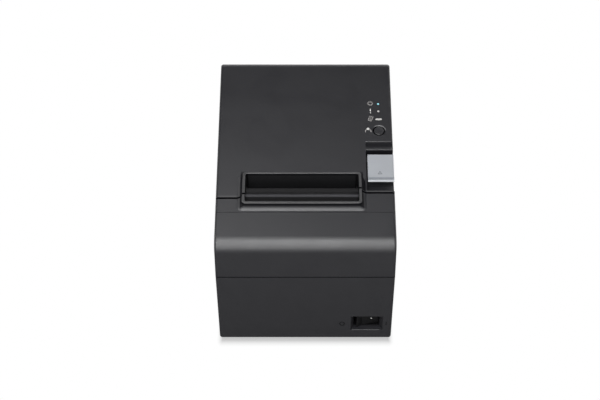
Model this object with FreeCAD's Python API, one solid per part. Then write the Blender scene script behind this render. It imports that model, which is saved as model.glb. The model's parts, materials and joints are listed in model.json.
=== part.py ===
import FreeCAD, Part
import math
import os

# Receipt printer for 80 mm paper. Millimetres, +Z up, front towards -Y, +X to the right
# of someone who faces the front. The origin is on the table, under the middle of the case.
# On the sloping top, s is the distance from the nose along it and h is the height above it.

# Case
case_width = 140.0
case_depth = 199.0
foot_height = 3.4
wall = 2.5
edge_radius = 2.0
nose_radius = 10.5
nose_centre_z = 97.0
top_slope = 13.06
top_length = 173.4
rear_edge_radius = 2.2
rear_kink_radius = 20.0
bottom_edge_radius = 0.6
side_draft = 0.8
foot_corner = 3.2
belt_z = 71.3
belt_gap = 0.5
boss_x = 62.5
boss_y = (-68.0, 80.0)
boss_radius = 5.4
boss_height = 24.0
case_screw_radius = 1.5
boss_bore_top = 22.0

# Seams across the sloping top
hood_seam_s = 22.5
hood_gap = 0.3
cover_seam_left_s = 35.9
cover_seam_right_s = 41.0
rim_seam_left_s = 37.05
rim_seam_right_s = 43.2
cover_gap = 1.2
tongue_x = 58.0
tongue_half_width = 4.0
tongue_reach = (-14.0, 4.0)
tongue_h = (-5.0, -2.9)
tongue_root_h = (-3.5, -2.0)

# Paper slot and the raised rim around it
rim_x = (-49.4, 44.0)
rim_s = (26.7, 60.7)
slot_x = (-47.2, 41.9)
slot_s = (28.7, 58.95)
slot_floor_h = -8.0
rim_height = 6.35
rim_fall = 0.157
rim_corner = 3.0
slot_corner = 1.8
rim_rounding = 0.4
skirt_front_s = 23.86
skirt_rear_s = (58.0, 34.0)
skirt_start = 28.0
skirt_steps = 5
skirt_side_share = 1.3
lip_h = -0.2
lip_depth = 1.35
lip_gap = 0.15
guide_side_gap = 0.3

# Roll cover hinge
hinge_z = 70.6
hinge_radius = 6.5
hinge_clearance = 0.7
pin_radius = 2.0
pin_half_length = 58.0
pin_end_gap = 0.4
running_gap = 0.05
knuckle_x = (50.0, 56.0)
knuckle_gap = 0.6
knuckle_stem_z = (35.3, 63.6)
knuckle_neck_z = 62.6
knuckle_neck_depth = 2.0
gutter_wall = 2.0
rear_wall_top_z = 64.6

# Opening lever and its recess
lever_x = (49.4, 70.0)
lever_pivot = (73.0, -4.6)
lever_pin_radius = 1.3
lever_pin_x = (47.6, 67.0)
lever_bore_end_x = 67.5
lever_boss_radius = 3.0
lever_lug_x = (62.0, 65.0)
lug_radius = 2.6
lug_gap = 0.4
lug_slot_reach = (-6.5, 9.0)
lug_slot_h = (-12.0, -1.4)
recess_x0 = 48.2
recess_s = (43.0, 91.4)
recess_front_h = -7.0
recess_floor_h = -8.9
recess_wall = 2.0
recess_edge_radius = 0.5
ledge_s = (83.5, 91.0)
ledge_h = (-0.4, -2.0)
ledge_thickness = 1.5

# Controls on the top
lens_x = 59.3
lens_radius = 0.85
lens_depth = 4.0
lens_proud = 0.15
power_lens_s = 130.0
error_lens_s = 122.4
paper_lens_s = 114.1
paper_lens_length = 5.2
button_s = 102.6
button_radius = 4.05
button_hole_radius = 4.65
button_rim = 0.6
button_proud = 0.1
button_edge_radius = 0.5
button_flange_h = (-4.2, -3.2)
button_flange_radius = 5.4
button_dish_radius = 24.0
button_dish_depth = 0.35
control_bore_h = (-8.0, 12.0)
board_post_places = ((50.5, 98.0), (63.5, 135.0))
board_post_radius = 2.2
indicator_board_x = (47.2, 66.8)
indicator_board_s = (95.0, 138.0)
indicator_board_h = (-9.2, -7.6)
led_size = (2.0, 1.6, 1.2)
button_switch_size = (6.0, 6.0, 1.6)
plunger_radius = 1.6
plunger_height = 0.6

# Power switch in the front face
switch_recess_x = (36.25, 62.0)
switch_recess_z = (12.4, 27.6)
switch_x = (38.6, 59.5)
switch_z = (12.4, 25.6)
switch_recess_depth = 4.0
switch_sill = 0.2
switch_sill_x = (37.4, 59.4)
switch_pad_margin = 2.0
switch_pad_depth = (1.0, 5.5)
housing_wall = 1.5
housing_depth = 13.0
housing_room_depth = 10.5
housing_room_drop = 1.0
terminal_x = (42.0, 48.6, 55.0)
terminal_z = (18.0, 23.0)
terminal_thickness = 0.8
terminal_length = 4.0
rocker_pivot_depth = 9.5
rocker_pivot_radius = 1.5
rocker_tilt = 12.0
rocker_side_gap = 0.35
rocker_edge_radius = 0.5
mark_depth = 0.3
off_mark = (29.4, 19.3, 2.2, 1.5)
on_mark = ((64.3, 65.0), (18.0, 21.5))
rocker_outline = ((-9.2, 1.0), (-9.2, -5.6), (-4.6, -3.6), (9.6, -3.6), (9.6, 1.0), (2.4, 3.2), (-2.4, 3.2))

# Base, feet and main board
plate_x = (-66.6, 66.6)
plate_y = (-96.4, 96.4)
plate_z = (foot_height + 0.4, foot_height + 2.4)
plate_corner = 3.0
foot_places = ((-50.0, -84.0), (-50.0, 84.0), (50.0, -84.0), (50.0, 84.0))
foot_radius = 7.0
foot_rounding = 0.8
standoff_places = ((-52.5, -30.0), (45.0, -30.0), (-52.5, 66.0), (45.0, 66.0))
standoff_radius = 3.2
standoff_floor = 0.6
plate_hole_radius = 1.7
board_screw_hole = 1.25
board_x = (-56.5, 50.0)
board_y = (-52.0, 90.0)
board_z = (9.0, 10.6)
board_leg_gap = 0.8
capacitor_places = ((-51.8, 40.0), (-51.8, 50.0))
capacitor_size = (4.0, 12.0)
processor_box = ((-18.0, -2.0), (-34.0, -18.0), 1.4)
memory_box = ((8.0, 18.0), (-32.0, -20.0), 1.2)
ribbon_x = (-20.0, 10.0)
ribbon_y = (-45.5, -45.2)
ribbon_slot_gap = 2.0
ribbon_socket_y = (-48.5, -45.6)
ribbon_socket_height = 3.4
ribbon_socket_margin = 1.5

# Rear sockets
connector_x = (-56.0, 46.0)
connector_z = (9.5, 33.0)
connector_window_depth = 6.0
panel_inset = (3.8, 2.6)
panel_margin = 1.5
socket_gap = 0.2
socket_inset = 1.2
usb_x = 6.0
usb_size = (12.0, 11.0, 18.0)
usb_mouth = (8.6, 1.7, 7.8, 9.0)
lan_x = 30.0
lan_size = (16.0, 13.6, 21.0)
lan_mouth = (12.0, 2.0, 9.4, 12.0)
drawer_x = -18.0
drawer_size = (14.4, 13.0, 18.0)
drawer_mouth = (10.2, 2.0, 8.6, 11.0)
power_x = -42.0
power_size = (16.0, 16.4, 20.0)
power_mouth_z = 19.0
power_mouth_radius = 5.6
power_mouth_depth = 10.0

# Paper bay and chassis
paper_x = -2.7
paper_width = 80.0
paper_y = -44.5
roll_radius = 41.5
bay_y = 27.0
bay_z = 62.0
bay_side_gap = 1.6
bay_roll_gap = 2.5
bay_wall = 2.0
bay_rim_z = 66.0
deck_x = (-56.0, 52.0)
deck_y = (-79.0, -5.5)
deck_z = 30.5
deck_thickness = 2.5
leg_places = ((-50.0, -70.0), (46.0, -70.0), (-50.0, -14.0), (46.0, -14.0))
rear_leg_places = ((-38.0, 60.0), (33.0, 60.0))
rear_leg_top_z = 31.0
leg_radius = 4.0
chute_x = (-49.4, 44.0)
chute_outline = ((-17.6, 63.0), (-17.6, 65.6), (-42.0, 79.6), (-43.0, 78.0))
sensor_x = (-6.0, 2.0)
sensor_outline = ((-33.0, 66.0), (-27.0, 63.0), (-27.0, 67.9), (-33.0, 71.3))
chassis_x = (-51.2, 45.8)
chassis_y = (-78.0, -26.0)
chassis_shoulder_z = 95.0
chassis_step_y = (-52.0, -50.0)
chassis_corner = 3.0
chassis_screw_places = ((-44.0, -74.0), (38.0, -74.0), (-44.0, -30.0), (38.0, -30.0))
chassis_screw_hole = 1.45
sheet = 1.2
cross_plate_y = (-57.2, -56.0)
cross_plate_z = (76.0, 98.5)
notch_gap = 0.35
notch_height = 8.0
notch_flare = (2.0, 1.0)

# Print head, platen and feed drive
head_x = (-44.4, 39.0)
head_z = (80.5, 97.0)
head_pivot = (-48.4, 79.0)
head_pin_radius = 1.5
head_pin_proud = 0.8
sink_y = (-50.9, -45.9)
sink_low_z = 75.5
sink_groove_pitch = 6.0
sink_groove_share = (0.4, 0.8)
sink_groove_depth = 1.8
sink_groove_low_z = 83.0
ceramic_thickness = 1.0
driver_thickness = 0.5
driver_margin = 4.0
driver_z = (81.5, 85.0)
spring_thickness = 0.5
spring_strip_x = (-40.0, 34.0)
spring_strip_z = (78.0, 86.0)
spring_finger_x = ((-34.0, -22.0), (10.0, 22.0))
spring_tip = ((1.1, 93.0), (1.6, 93.4))
platen_radius = 6.0
platen_z = 90.0
platen_length = 82.0
platen_paper_gap = 0.1
shaft_radius = 2.5
shaft_proud = 0.8
bush_radius = 4.5
bush_proud = 0.2
gear_module = 0.8
platen_teeth = 20
reduction_teeth = 40
pinion_teeth = 12
gear_x = (-57.6, -53.0)
gear_proud = 0.6
reduction_offset = (-4.0, -23.66)
reduction_web = (4.0, 12.5, 1.2)
motor_offset = (-15.0, -14.4)
stud_radius = 2.0
stud_collar_radius = 3.4
stud_cap_radius = 3.0
stud_cap = (1.2, 0.3)
motor_shaft_radius = 1.5
motor_shaft_end_x = -32.0
motor_bore_end_x = -31.0
motor_radius = 17.5
motor_length = 20.0
motor_nose_radius = 5.6
motor_hole_radius = 6.0
motor_ears = (41.0, 10.0)

# Cover liner and cutter
arm_x = ((-47.7, -45.2), (39.8, 42.3))
arm_front = ((-43.4, 86.5), (-41.5, 84.5))
arm_rear = ((-41.0, 105.2), (-43.4, 100.0))
arm_low_z = 84.5
liner_y = (-30.0, -27.6)
beam_low_z = 85.0
shelf_z = (102.9, 105.2)
shelf_front_y = -39.6
slot_wall_foot_y = -33.0
slot_wall_thickness = 2.4
fixed_blade_y = (-44.0, -30.0)
blade_thickness = 1.0
fixed_blade_gap = 0.2
blade_screw_places = ((-36.0, -35.0), (30.6, -35.0))
cutter_z = 100.0
frame_top = 102.9
frame_y = (-82.5, -48.4)
rail_top = 105.0
rail_gap = 0.3
blade_x = (-47.8, 42.4)
blade_front_y = -82.0
blade_edge_y = -47.5
blade_shoulder = 5.5
blade_v = 1.6
blade_tongue_gap = 0.6
blade_travel = 7.0
moving_blade_z = (103.2, 104.0)
rack_slot = (6.4, 1.6)
rack_root = 1.25
rack_teeth = 6
rack_first_tooth = -3.5
rack_flank = 0.3
cutter_axis = (30.0, -66.0)
cutter_module = 1.0
cutter_teeth = 10
cutter_pinion_z = (103.1, 104.8)
cutter_shaft_radius = 1.5
cutter_shaft_low_z = 86.0
cutter_frame_hole = 3.0
cutter_motor_radius = 8.0
cutter_motor_low_z = 76.0
cutter_motor_bore_z = 85.5
knob_z = (104.8, 108.4)
knob_radius = 5.8
knob_grips = 18
knob_grip_radius = 0.6
knob_grip_circle = 6.0
knob_skirt = 0.8

# Screws: head radius, head height, shank radius and shank length, then the cross in the head
case_screw = (3.0, 1.8, case_screw_radius, 16.0)
board_screw = (2.4, 1.4, 1.2, 5.0)
chassis_screw = (2.6, 1.5, 1.4, 6.0)
blade_screw = (2.2, 1.2, 1.4, 1.0)
screw_rounding = 0.4
screw_slot_half = 0.35
screw_slot_share = 0.55

# Shape of a gear tooth, in modules, with its flanks thinned so that meshed teeth run free
tooth_tip = 0.85
tooth_root = 1.2
tooth_share = 0.40
tooth_flank = 20.0

half_width = case_width / 2
front_y = -case_depth / 2
rear_y = case_depth / 2
slope = math.radians(top_slope)
along = (math.cos(slope), math.sin(slope))
upward = (-math.sin(slope), math.cos(slope))
top_start = (front_y + nose_radius + nose_radius * upward[0], nose_centre_z + nose_radius * upward[1])
top_place = FreeCAD.Placement(
    FreeCAD.Vector(0, *top_start), FreeCAD.Rotation(FreeCAD.Vector(1, 0, 0), top_slope))
top_place_back = top_place.inverse()
platen_y = paper_y + platen_radius + platen_paper_gap
reduction_y = platen_y + reduction_offset[0]
reduction_z = platen_z + reduction_offset[1]
motor_y = reduction_y + motor_offset[0]
motor_z = reduction_z + motor_offset[1]
socket_y = rear_y - socket_inset

# Lengths that aren't measured off the printer: past everything, how far a joined piece runs
# into its neighbour, and how close a point must be to count as on a plane
far = 300.0
bite = 0.5
slack = 0.01


def on_top(s, h):
    """Point (y, z) at distance s along the sloping top and h above it."""
    return (top_start[0] + s * along[0] + h * upward[0], top_start[1] + s * along[1] + h * upward[1])


rear_top = on_top(top_length, 0)
hinge_y = rear_top[0] + ((rear_top[1] - hinge_z) * along[1] - hinge_radius) / along[0]


def box(x, y, z):
    """Block between pairs of limits."""
    return Part.makeBox(x[1] - x[0], y[1] - y[0], z[1] - z[0], FreeCAD.Vector(x[0], y[0], z[0]))


def around(middle, size):
    """Pair of limits a size apart, either side of a middle."""
    return (middle - size / 2, middle + size / 2)


def rounded_box(x, y, z, radius):
    """Block with its upright edges rounded."""
    block = box(x, y, z)
    upright = [edge for edge in block.Edges if abs(edge.tangentAt(edge.FirstParameter).z) > 0.9]
    return block.makeFillet(radius, upright)


def rounded_outline(x, y, z, radius):
    """Level outline of a rectangle with rounded corners."""
    return rounded_box(x, y, (z - bite, z + bite), radius).slice(FreeCAD.Vector(0, 0, 1), z)[0]


def cylinder(radius, start, axis, length):
    """Round bar from start, along axis."""
    return Part.makeCylinder(radius, length, FreeCAD.Vector(*start), FreeCAD.Vector(*axis))


def post(radius, place, z):
    """Upright round bar at (x, y) between two heights."""
    return cylinder(radius, (*place, z[0]), (0, 0, 1), z[1] - z[0])


def cross_rod(radius, x, y, z):
    """Round bar along X between two limits."""
    return cylinder(radius, (x[0], y, z), (1, 0, 0), x[1] - x[0])


def carried(points, direction):
    """Flat outline through points, carried along a direction."""
    vectors = [FreeCAD.Vector(*point) for point in points]
    return Part.Face(Part.makePolygon(vectors + vectors[:1])).extrude(FreeCAD.Vector(*direction))


def prism(outline, x):
    """Outline of (y, z) points carried along X."""
    return carried([(x[0], y, z) for y, z in outline], (x[1] - x[0], 0, 0))


def plate(outline, z):
    """Outline of (x, y) points carried upwards."""
    return carried([(x, y, z[0]) for x, y in outline], (0, 0, z[1] - z[0]))


def corner_arc(before, corner, after, radius):
    """Start, middle and end of the arc that rounds one corner of an outline."""
    to_before = (before - corner).normalize()
    to_after = (after - corner).normalize()
    half = to_before.getAngle(to_after) / 2
    inward = (to_before + to_after).normalize()
    reach = radius / math.tan(half)
    middle = corner + inward * (radius / math.sin(half) - radius)
    return corner + to_before * reach, middle, corner + to_after * reach


def rounded_prism(corners, x):
    """Outline of (y, z, corner radius) carried along X."""
    points = [FreeCAD.Vector(x[0], y, z) for y, z, radius in corners]
    count = len(points)
    edges = []
    ends = []
    for index, (y, z, radius) in enumerate(corners):
        if radius == 0:
            ends.append((points[index], points[index]))
            continue
        arc = corner_arc(points[index - 1], points[index], points[(index + 1) % count], radius)
        edges.append(Part.Arc(*arc).toShape())
        ends.append((arc[0], arc[2]))
    for index in range(count):
        start = ends[index][1]
        finish = ends[(index + 1) % count][0]
        edges.append(Part.LineSegment(start, finish).toShape())
    wire = Part.Wire(Part.__sortEdges__(edges))
    return Part.Face(wire).extrude(FreeCAD.Vector(x[1] - x[0], 0, 0))


def to_top(shape):
    """Carries a shape drawn flat, as (x, s, h), onto the sloping top."""
    placed = shape.copy()
    placed.Placement = top_place.multiply(placed.Placement)
    return placed


def top_prism(corners, x):
    """Outline of (s, h, corner radius) on the sloping top, carried along X."""
    return rounded_prism([(*on_top(s, h), radius) for s, h, radius in corners], x)


def sharp(outline):
    """The same outline with no corner rounded."""
    return [(s, h, 0) for s, h in outline]


def joined(shape, *others):
    """One solid from several that touch."""
    return shape.fuse(list(others)).removeSplitter()


def edges_where(shape, test):
    """Edges whose ends and middle all pass a test."""
    return [edge for edge in shape.Edges
            if all(test(vertex.Point) for vertex in edge.Vertexes) and test(edge.CenterOfMass)]


def rim_edges(shape, x, s):
    """Edges in the level top face of the rim, inside a rectangle on the sloping top."""
    def inside(point):
        local = top_place_back.multVec(point)
        level = abs(local.z - rim_level(local.y)) < slack
        return level and x[0] - slack < local.x < x[1] + slack and s[0] - slack < local.y < s[1] + slack

    return edges_where(shape, inside)


def rim_level(s):
    """Height of the rim's top face over the sloping top, which rises to meet it at the rear."""
    return rim_height - (s - rim_s[0]) * rim_fall


def rim_block():
    """Raised frame of the slot, with a hollow skirt that sweeps up its front and fades out rearwards."""
    first = math.radians(skirt_start)
    sweep_radius = (rim_s[0] - skirt_front_s) / (1 - math.sin(first))
    full_height = sweep_radius * math.cos(first)
    steps = [(rim_s[0] - skirt_front_s + bite / math.tan(first), -bite)]
    for step in range(skirt_steps + 1):
        angle = first + (math.pi / 2 - first) * step / skirt_steps
        steps.append((sweep_radius * (1 - math.sin(angle)), full_height - sweep_radius * math.cos(angle)))
    outlines = []
    for reach, height in steps:
        side = skirt_side_share * reach
        rear = skirt_rear_s[0] + (skirt_rear_s[1] - skirt_rear_s[0]) * height / full_height
        outlines.append(rounded_outline(
            (rim_x[0] - side, rim_x[1] + side), (rim_s[0] - reach, rear), height, rim_corner))
    skirt = Part.makeLoft(outlines, True, True)
    frame = to_top(rounded_box(rim_x, rim_s, (-1, 2 * rim_height), rim_corner).fuse(skirt))
    below = [(0, -far), (far, -far), (far, rim_level(far)), (0, rim_level(0))]
    return frame.common(top_prism(sharp(below), (-far, far)))


def case_profile(inset, bottom, bottom_radius):
    """Side outline of the case, moved inwards by inset, with its own bottom."""
    front = front_y + inset
    rear = rear_y - inset
    low_start = on_top(0, -inset)
    front_top_s = (front - low_start[0]) / along[0]
    front_top = on_top(front_top_s, -inset)
    apex = on_top(top_length - inset, -inset)
    drop = (rear - apex[0]) / along[1]
    kink_z = apex[1] - drop * along[0]
    return [
        (front, bottom, bottom_radius),
        (rear, bottom, bottom_radius),
        (rear, kink_z, rear_kink_radius),
        (apex[0], apex[1], max(rear_edge_radius - inset, 0)),
        (front_top[0], front_top[1], nose_radius - inset)]


def outer_block():
    """The whole case as one closed block with rounded edges and the raised slot rim."""
    spare = 2 * edge_radius
    profile = case_profile(0, foot_height - 2 * spare, spare)
    block = rounded_prism(profile, (-half_width, half_width))
    outline = edges_where(block, lambda point: abs(abs(point.x) - half_width) < slack)
    block = block.makeFillet(edge_radius, outline)
    block = block.cut(box((-far, far), (-far, far), (-far, foot_height)))
    underside = edges_where(block, lambda point: abs(point.z - foot_height) < slack)
    block = block.makeFillet(bottom_edge_radius, underside)
    block = block.fuse(rim_block())
    block = block.makeFillet(rim_rounding, rim_edges(block, rim_x, rim_s))
    block = block.cut(to_top(rounded_box(slot_x, slot_s, (slot_floor_h, rim_height + 1), slot_corner)))
    return block.makeFillet(rim_rounding, rim_edges(block, slot_x, slot_s))


def case_shell():
    """The case as a thin wall, open underneath."""
    room = rounded_prism(case_profile(wall, -far, 0), (wall - half_width, half_width - wall))
    return outer_block().cut(room)


def zone_above(low):
    return box((-far, far), (-far, far), (low, far))


def top_zone(x, s):
    """Slice of space square to the sloping top, between two distances along it."""
    return to_top(box(x, s, (-far, far)))


def cover_seam():
    """The seam in front of the roll cover, as (x range, s): it steps back where it crosses the rim."""
    return [
        ((-far, rim_x[0]), cover_seam_left_s), ((rim_x[0], 0), rim_seam_left_s),
        ((0, rim_x[1]), rim_seam_right_s), ((rim_x[1], far), cover_seam_right_s)]


def leaning_sides():
    """Block that the lower case stays inside: its sides lean in a little towards the table."""
    foot_x = half_width - belt_z * math.tan(math.radians(side_draft))
    foot = rounded_outline((-foot_x, foot_x), (front_y, rear_y), 0, foot_corner)
    head = rounded_outline((-half_width, half_width), (front_y, rear_y), belt_z, edge_radius)
    return Part.makeLoft([foot, head], True, True)


def switch_recess():
    """Recess around the power switch, with flared sides and a level sill, and the opening behind it."""
    def frame(x, z, y):
        corners = [(x[0], z[0]), (x[1], z[0]), (x[1], z[1]), (x[0], z[1])]
        points = [FreeCAD.Vector(px, y, pz) for px, pz in corners]
        return Part.makePolygon(points + points[:1])

    mouth = frame(switch_recess_x, switch_recess_z, front_y - slack)
    throat = frame(switch_x, switch_z, front_y + switch_recess_depth)
    funnel = Part.makeLoft([mouth, throat], True, True)
    sill_y = front_y + switch_sill
    sill_z = switch_recess_z[0]
    sill = prism([
        (front_y - slack, sill_z), (front_y - slack, sill_z - switch_sill), (sill_y, sill_z)], switch_sill_x)
    return joined(funnel, box(switch_x, (front_y, front_y + 2 * switch_recess_depth), switch_z), sill)


def switch_marks():
    """Engraved ring and bar, left and right of the power switch, for off and on."""
    x, z, ring_radius, ring_hole = off_mark
    inward = FreeCAD.Vector(0, 1, 0)
    start = FreeCAD.Vector(x, front_y - slack, z)
    core = cylinder(ring_hole, start, inward, mark_depth)
    ring = cylinder(ring_radius, start, inward, mark_depth).cut(core)
    return [ring, box(on_mark[0], (front_y - slack, front_y + mark_depth), on_mark[1])]


def hinge_knuckles():
    """Two ears in the lower case that hold the hinge pin."""
    ears = []
    for side in (-1, 1):
        x = sorted((side * knuckle_x[0], side * knuckle_x[1]))
        front = hinge_y - hinge_radius
        ear = cross_rod(hinge_radius, x, hinge_y, hinge_z)
        stem = box(x, (front, rear_y - wall), knuckle_stem_z)
        neck = box(x, (front, hinge_y + knuckle_neck_depth), (knuckle_neck_z, hinge_z))
        ears.append(joined(ear, stem, neck))
    return ears


def hinge_gutter():
    """Curved lip under the hinge barrel that hides the inside of the case from behind."""
    reach = hinge_radius + hinge_clearance
    width = (wall - half_width - bite, half_width - wall + bite)
    inside = cross_rod(reach, width, hinge_y, hinge_z)
    ring = cross_rod(reach + gutter_wall, width, hinge_y, hinge_z).cut(inside)
    shelf_top = hinge_z - reach + bite
    front = box(width, (hinge_y - far, hinge_y), (0, hinge_z - 1))
    rear = box(width, (hinge_y, hinge_y + far), (0, shelf_top))
    shelf = box(width, (hinge_y, rear_y - wall - bite), (shelf_top - gutter_wall, shelf_top))
    return ring.common(front.fuse(rear)).fuse(shelf.cut(inside))


def boss_places():
    return [(x, y) for x in (-boss_x, boss_x) for y in boss_y]


def lower_case(shell):
    case = shell.common(box((-far, far), (-far, far), (0, belt_z - belt_gap / 2)))
    case = case.common(leaning_sides())
    case = case.cut(cross_rod(hinge_radius + hinge_clearance, (-far, far), hinge_y, hinge_z))
    case = case.cut(box((-far, far), (hinge_y, far), (rear_wall_top_z, far)))
    bosses = [post(boss_radius, place, (plate_z[1], plate_z[1] + boss_height)) for place in boss_places()]
    switch_pad = box(
        (switch_recess_x[0] - switch_pad_margin, switch_recess_x[1] + switch_pad_margin),
        (front_y + switch_pad_depth[0], front_y + switch_pad_depth[1]),
        (switch_recess_z[0] - switch_pad_margin, switch_recess_z[1] + switch_pad_margin))
    case = joined(case, switch_pad, hinge_gutter(), *bosses, *hinge_knuckles())
    holes = [post(case_screw_radius + running_gap, place, (0, boss_bore_top)) for place in boss_places()]
    pin_hole = cross_rod(pin_radius, (-pin_half_length, pin_half_length), hinge_y, hinge_z)
    connectors = box(connector_x, (rear_y - connector_window_depth, far), connector_z)
    return case.cut([switch_recess(), pin_hole, connectors] + switch_marks() + holes)


def cutter_cover(shell):
    zone = top_zone((-far, far), (-far, hood_seam_s - hood_gap / 2))
    return shell.common(zone_above(belt_z + belt_gap / 2)).common(zone)


def upper_case(shell):
    """Fixed strip between the hood and the roll cover, with two tongues the hood slides on."""
    start = hood_seam_s + hood_gap / 2
    zones = [top_zone(x, (start, seam - cover_gap / 2)) for x, seam in cover_seam()]
    strip = shell.common(zone_above(belt_z - belt_gap / 2)).common(joined(*zones))
    reach = (hood_seam_s + tongue_reach[0], hood_seam_s + tongue_reach[1])
    pieces = []
    for middle in (-tongue_x, tongue_x):
        x = around(middle, 2 * tongue_half_width)
        pieces.append(to_top(box(x, reach, tongue_h)))
        pieces.append(to_top(box(x, (hood_seam_s + bite, reach[1]), tongue_root_h)))
    return joined(strip, *pieces)


def paper_guide():
    """Bar inside the slot: a rounded ridge, then a flat ledge the paper rises behind."""
    profile = [
        (26.2, -3.9, 0), (31.0, -6.0, 0), (46.6, -6.0, 0), (46.6, -1.5, 0.3), (42.6, -1.6, 1.5),
        (39.4, -0.1, 1.2), (38.0, -0.3, 1.0), (35.8, -3.8, 0.8), (28.9, -3.8, 0), (28.9, -wall, 0),
        (26.2, -wall, 0)]
    return top_prism(profile, (slot_x[0] + guide_side_gap, slot_x[1] - guide_side_gap))


def lever_recess():
    """Well for the lever, with a lower ledge behind it that a finger presses past."""
    open_h = 2 * rim_height
    profile = [
        (recess_s[0], open_h, 0), (recess_s[0], 0, 0), (recess_s[0] + 0.8, recess_front_h, 0),
        (54.0, recess_floor_h, 0), (ledge_s[0] - 0.6, recess_floor_h, 0),
        (ledge_s[0], ledge_h[0], recess_edge_radius), (ledge_s[1], ledge_h[1], 0),
        (recess_s[1], 0, recess_edge_radius), (recess_s[1] + open_h, 0, 0), (recess_s[1] + open_h, open_h, 0)]
    return top_prism(profile, (recess_x0, far))


def lever_tub():
    """Floor and inner wall that close the lever recess off from the inside."""
    floor_h = recess_floor_h - recess_wall
    front_s = cover_seam_right_s + cover_gap / 2
    under = [
        (front_s, -bite), (front_s, recess_front_h - recess_wall), (53.6, floor_h),
        (ledge_s[0] + 1.4, floor_h), (ledge_s[0] + 2.2, ledge_h[1] - ledge_thickness),
        (recess_s[1] + 1, ledge_h[1] - ledge_thickness), (recess_s[1] + 1, -bite)]
    return top_prism(sharp(under), (recess_x0 - recess_wall, half_width - 0.2))


def lever_lug():
    s, h = lever_pivot
    root_h = recess_floor_h - bite
    foot = [(s - 3, root_h), (s + 3, root_h), (s + lug_radius, h), (s - lug_radius, h)]
    return top_prism(sharp(foot), lever_lug_x).fuse(lever_rod(lug_radius, lever_lug_x))


def lever_rod(radius, x):
    """Round bar along the lever's axis."""
    return cross_rod(radius, x, *on_top(*lever_pivot))


def control_holes():
    """Holes in the roll cover for the three lenses and the feed button."""
    lens_places = ((lens_x, power_lens_s), (lens_x, error_lens_s))
    holes = [post(lens_radius + running_gap, place, control_bore_h) for place in lens_places]
    holes.append(paper_pill(running_gap, control_bore_h))
    holes.append(post(button_hole_radius, (lens_x, button_s), control_bore_h))
    rim = Part.makeCone(
        button_hole_radius, button_hole_radius + 2 * button_rim, 2 * button_rim,
        FreeCAD.Vector(lens_x, button_s, -button_rim))
    return [to_top(hole) for hole in holes + [rim]]


def paper_pill(gap, h):
    """Round-ended bar for the paper lens, or for its hole."""
    width = 2 * (lens_radius + gap)
    x = around(lens_x, paper_lens_length + 2 * gap)
    return rounded_box(x, around(paper_lens_s, width), h, width / 2 - slack / 10)


def roll_cover(shell):
    zones = [top_zone(x, (seam + cover_gap / 2, far)) for x, seam in cover_seam()]
    cover = shell.common(zone_above(belt_z + belt_gap / 2)).common(joined(*zones))
    barrel = cross_rod(hinge_radius, (-half_width + 1, half_width - 1), hinge_y, hinge_z)
    post_h = (indicator_board_h[1], bite - wall)
    posts = [to_top(post(board_post_radius, place, post_h)) for place in board_post_places]
    cover = joined(cover, barrel, lever_tub(), *posts)
    bore = pin_half_length + pin_end_gap
    lip_pocket = to_top(box(slot_x, (slot_s[1] - 1, slot_s[1] + lip_depth), (slot_floor_h, lip_h)))
    cuts = control_holes() + [lever_recess(), lip_pocket, lever_rod(lever_pin_radius, lever_pin_x)]
    cuts.append(cross_rod(pin_radius + running_gap, (-bore, bore), hinge_y, hinge_z))
    for side in (-1, 1):
        x = sorted((side * (knuckle_x[0] - knuckle_gap), side * (knuckle_x[1] + knuckle_gap)))
        cuts.append(cross_rod(hinge_radius + hinge_clearance, x, hinge_y, hinge_z))
    lug = lever_lug().cut(lever_rod(lever_pin_radius, lever_x))
    return cover.cut(cuts).fuse(lug).removeSplitter()


def open_lever():
    """Flat lever with a raised lip at its front for a fingertip, undercut below."""
    profile = [
        (51.5, 0.0, 0.3), (52.8, 1.5, 0.4), (54.6, 0.35, 1.0), (57.6, 0.1, 0.6), (78.2, 0.15, 0),
        (78.7, -0.4, 0), (78.7, -5.0, 0), (76.9, -6.9, 0), (69.0, -6.5, 0), (56.6, -3.4, 0), (54.2, -2.9, 0)]
    pivot_s, pivot_h = lever_pivot
    lever = top_prism(profile, lever_x).fuse(lever_rod(lever_boss_radius, lever_x)).removeSplitter()
    lug_slot = to_top(box(
        (lever_lug_x[0] - lug_gap, lever_lug_x[1] + lug_gap),
        (pivot_s + lug_slot_reach[0], pivot_s + lug_slot_reach[1]), lug_slot_h))
    return lever.cut([lug_slot, lever_rod(lever_pin_radius + running_gap, (0, lever_bore_end_x))])


def lever_pin():
    return lever_rod(lever_pin_radius, lever_pin_x)


def round_lens(s):
    return to_top(post(lens_radius, (lens_x, s), (-lens_depth, lens_proud)))


def power_lens():
    return round_lens(power_lens_s)


def error_lens():
    return round_lens(error_lens_s)


def paper_lens():
    return to_top(paper_pill(0, (-lens_depth, lens_proud)))


def feed_button():
    """Round button with a dished top, held by a flange under the cover."""
    centre = (lens_x, button_s)
    cap = post(button_radius, centre, (button_flange_h[1], button_proud))
    crown = cap.makeFillet(button_edge_radius, [edge for edge in cap.Edges if edge.CenterOfMass.z > 0])
    flange = post(button_flange_radius, centre, button_flange_h)
    dish_h = button_proud - button_dish_depth + button_dish_radius
    dish = Part.makeSphere(button_dish_radius, FreeCAD.Vector(*centre, dish_h))
    return to_top(joined(crown, flange).cut(dish))


def indicator_board():
    return to_top(box(indicator_board_x, indicator_board_s, indicator_board_h))


def on_indicator_board(s, size):
    """Small block that stands on the indicator board, behind the controls."""
    low = indicator_board_h[1]
    return box(around(lens_x, size[0]), around(s, size[1]), (low, low + size[2]))


def indicator_leds():
    places = (power_lens_s, error_lens_s, paper_lens_s)
    return Part.makeCompound([to_top(on_indicator_board(s, led_size)) for s in places])


def button_switch():
    top = indicator_board_h[1] + button_switch_size[2]
    plunger = post(plunger_radius, (lens_x, button_s), (top, top + plunger_height))
    return to_top(on_indicator_board(button_s, button_switch_size).fuse(plunger))


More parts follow.
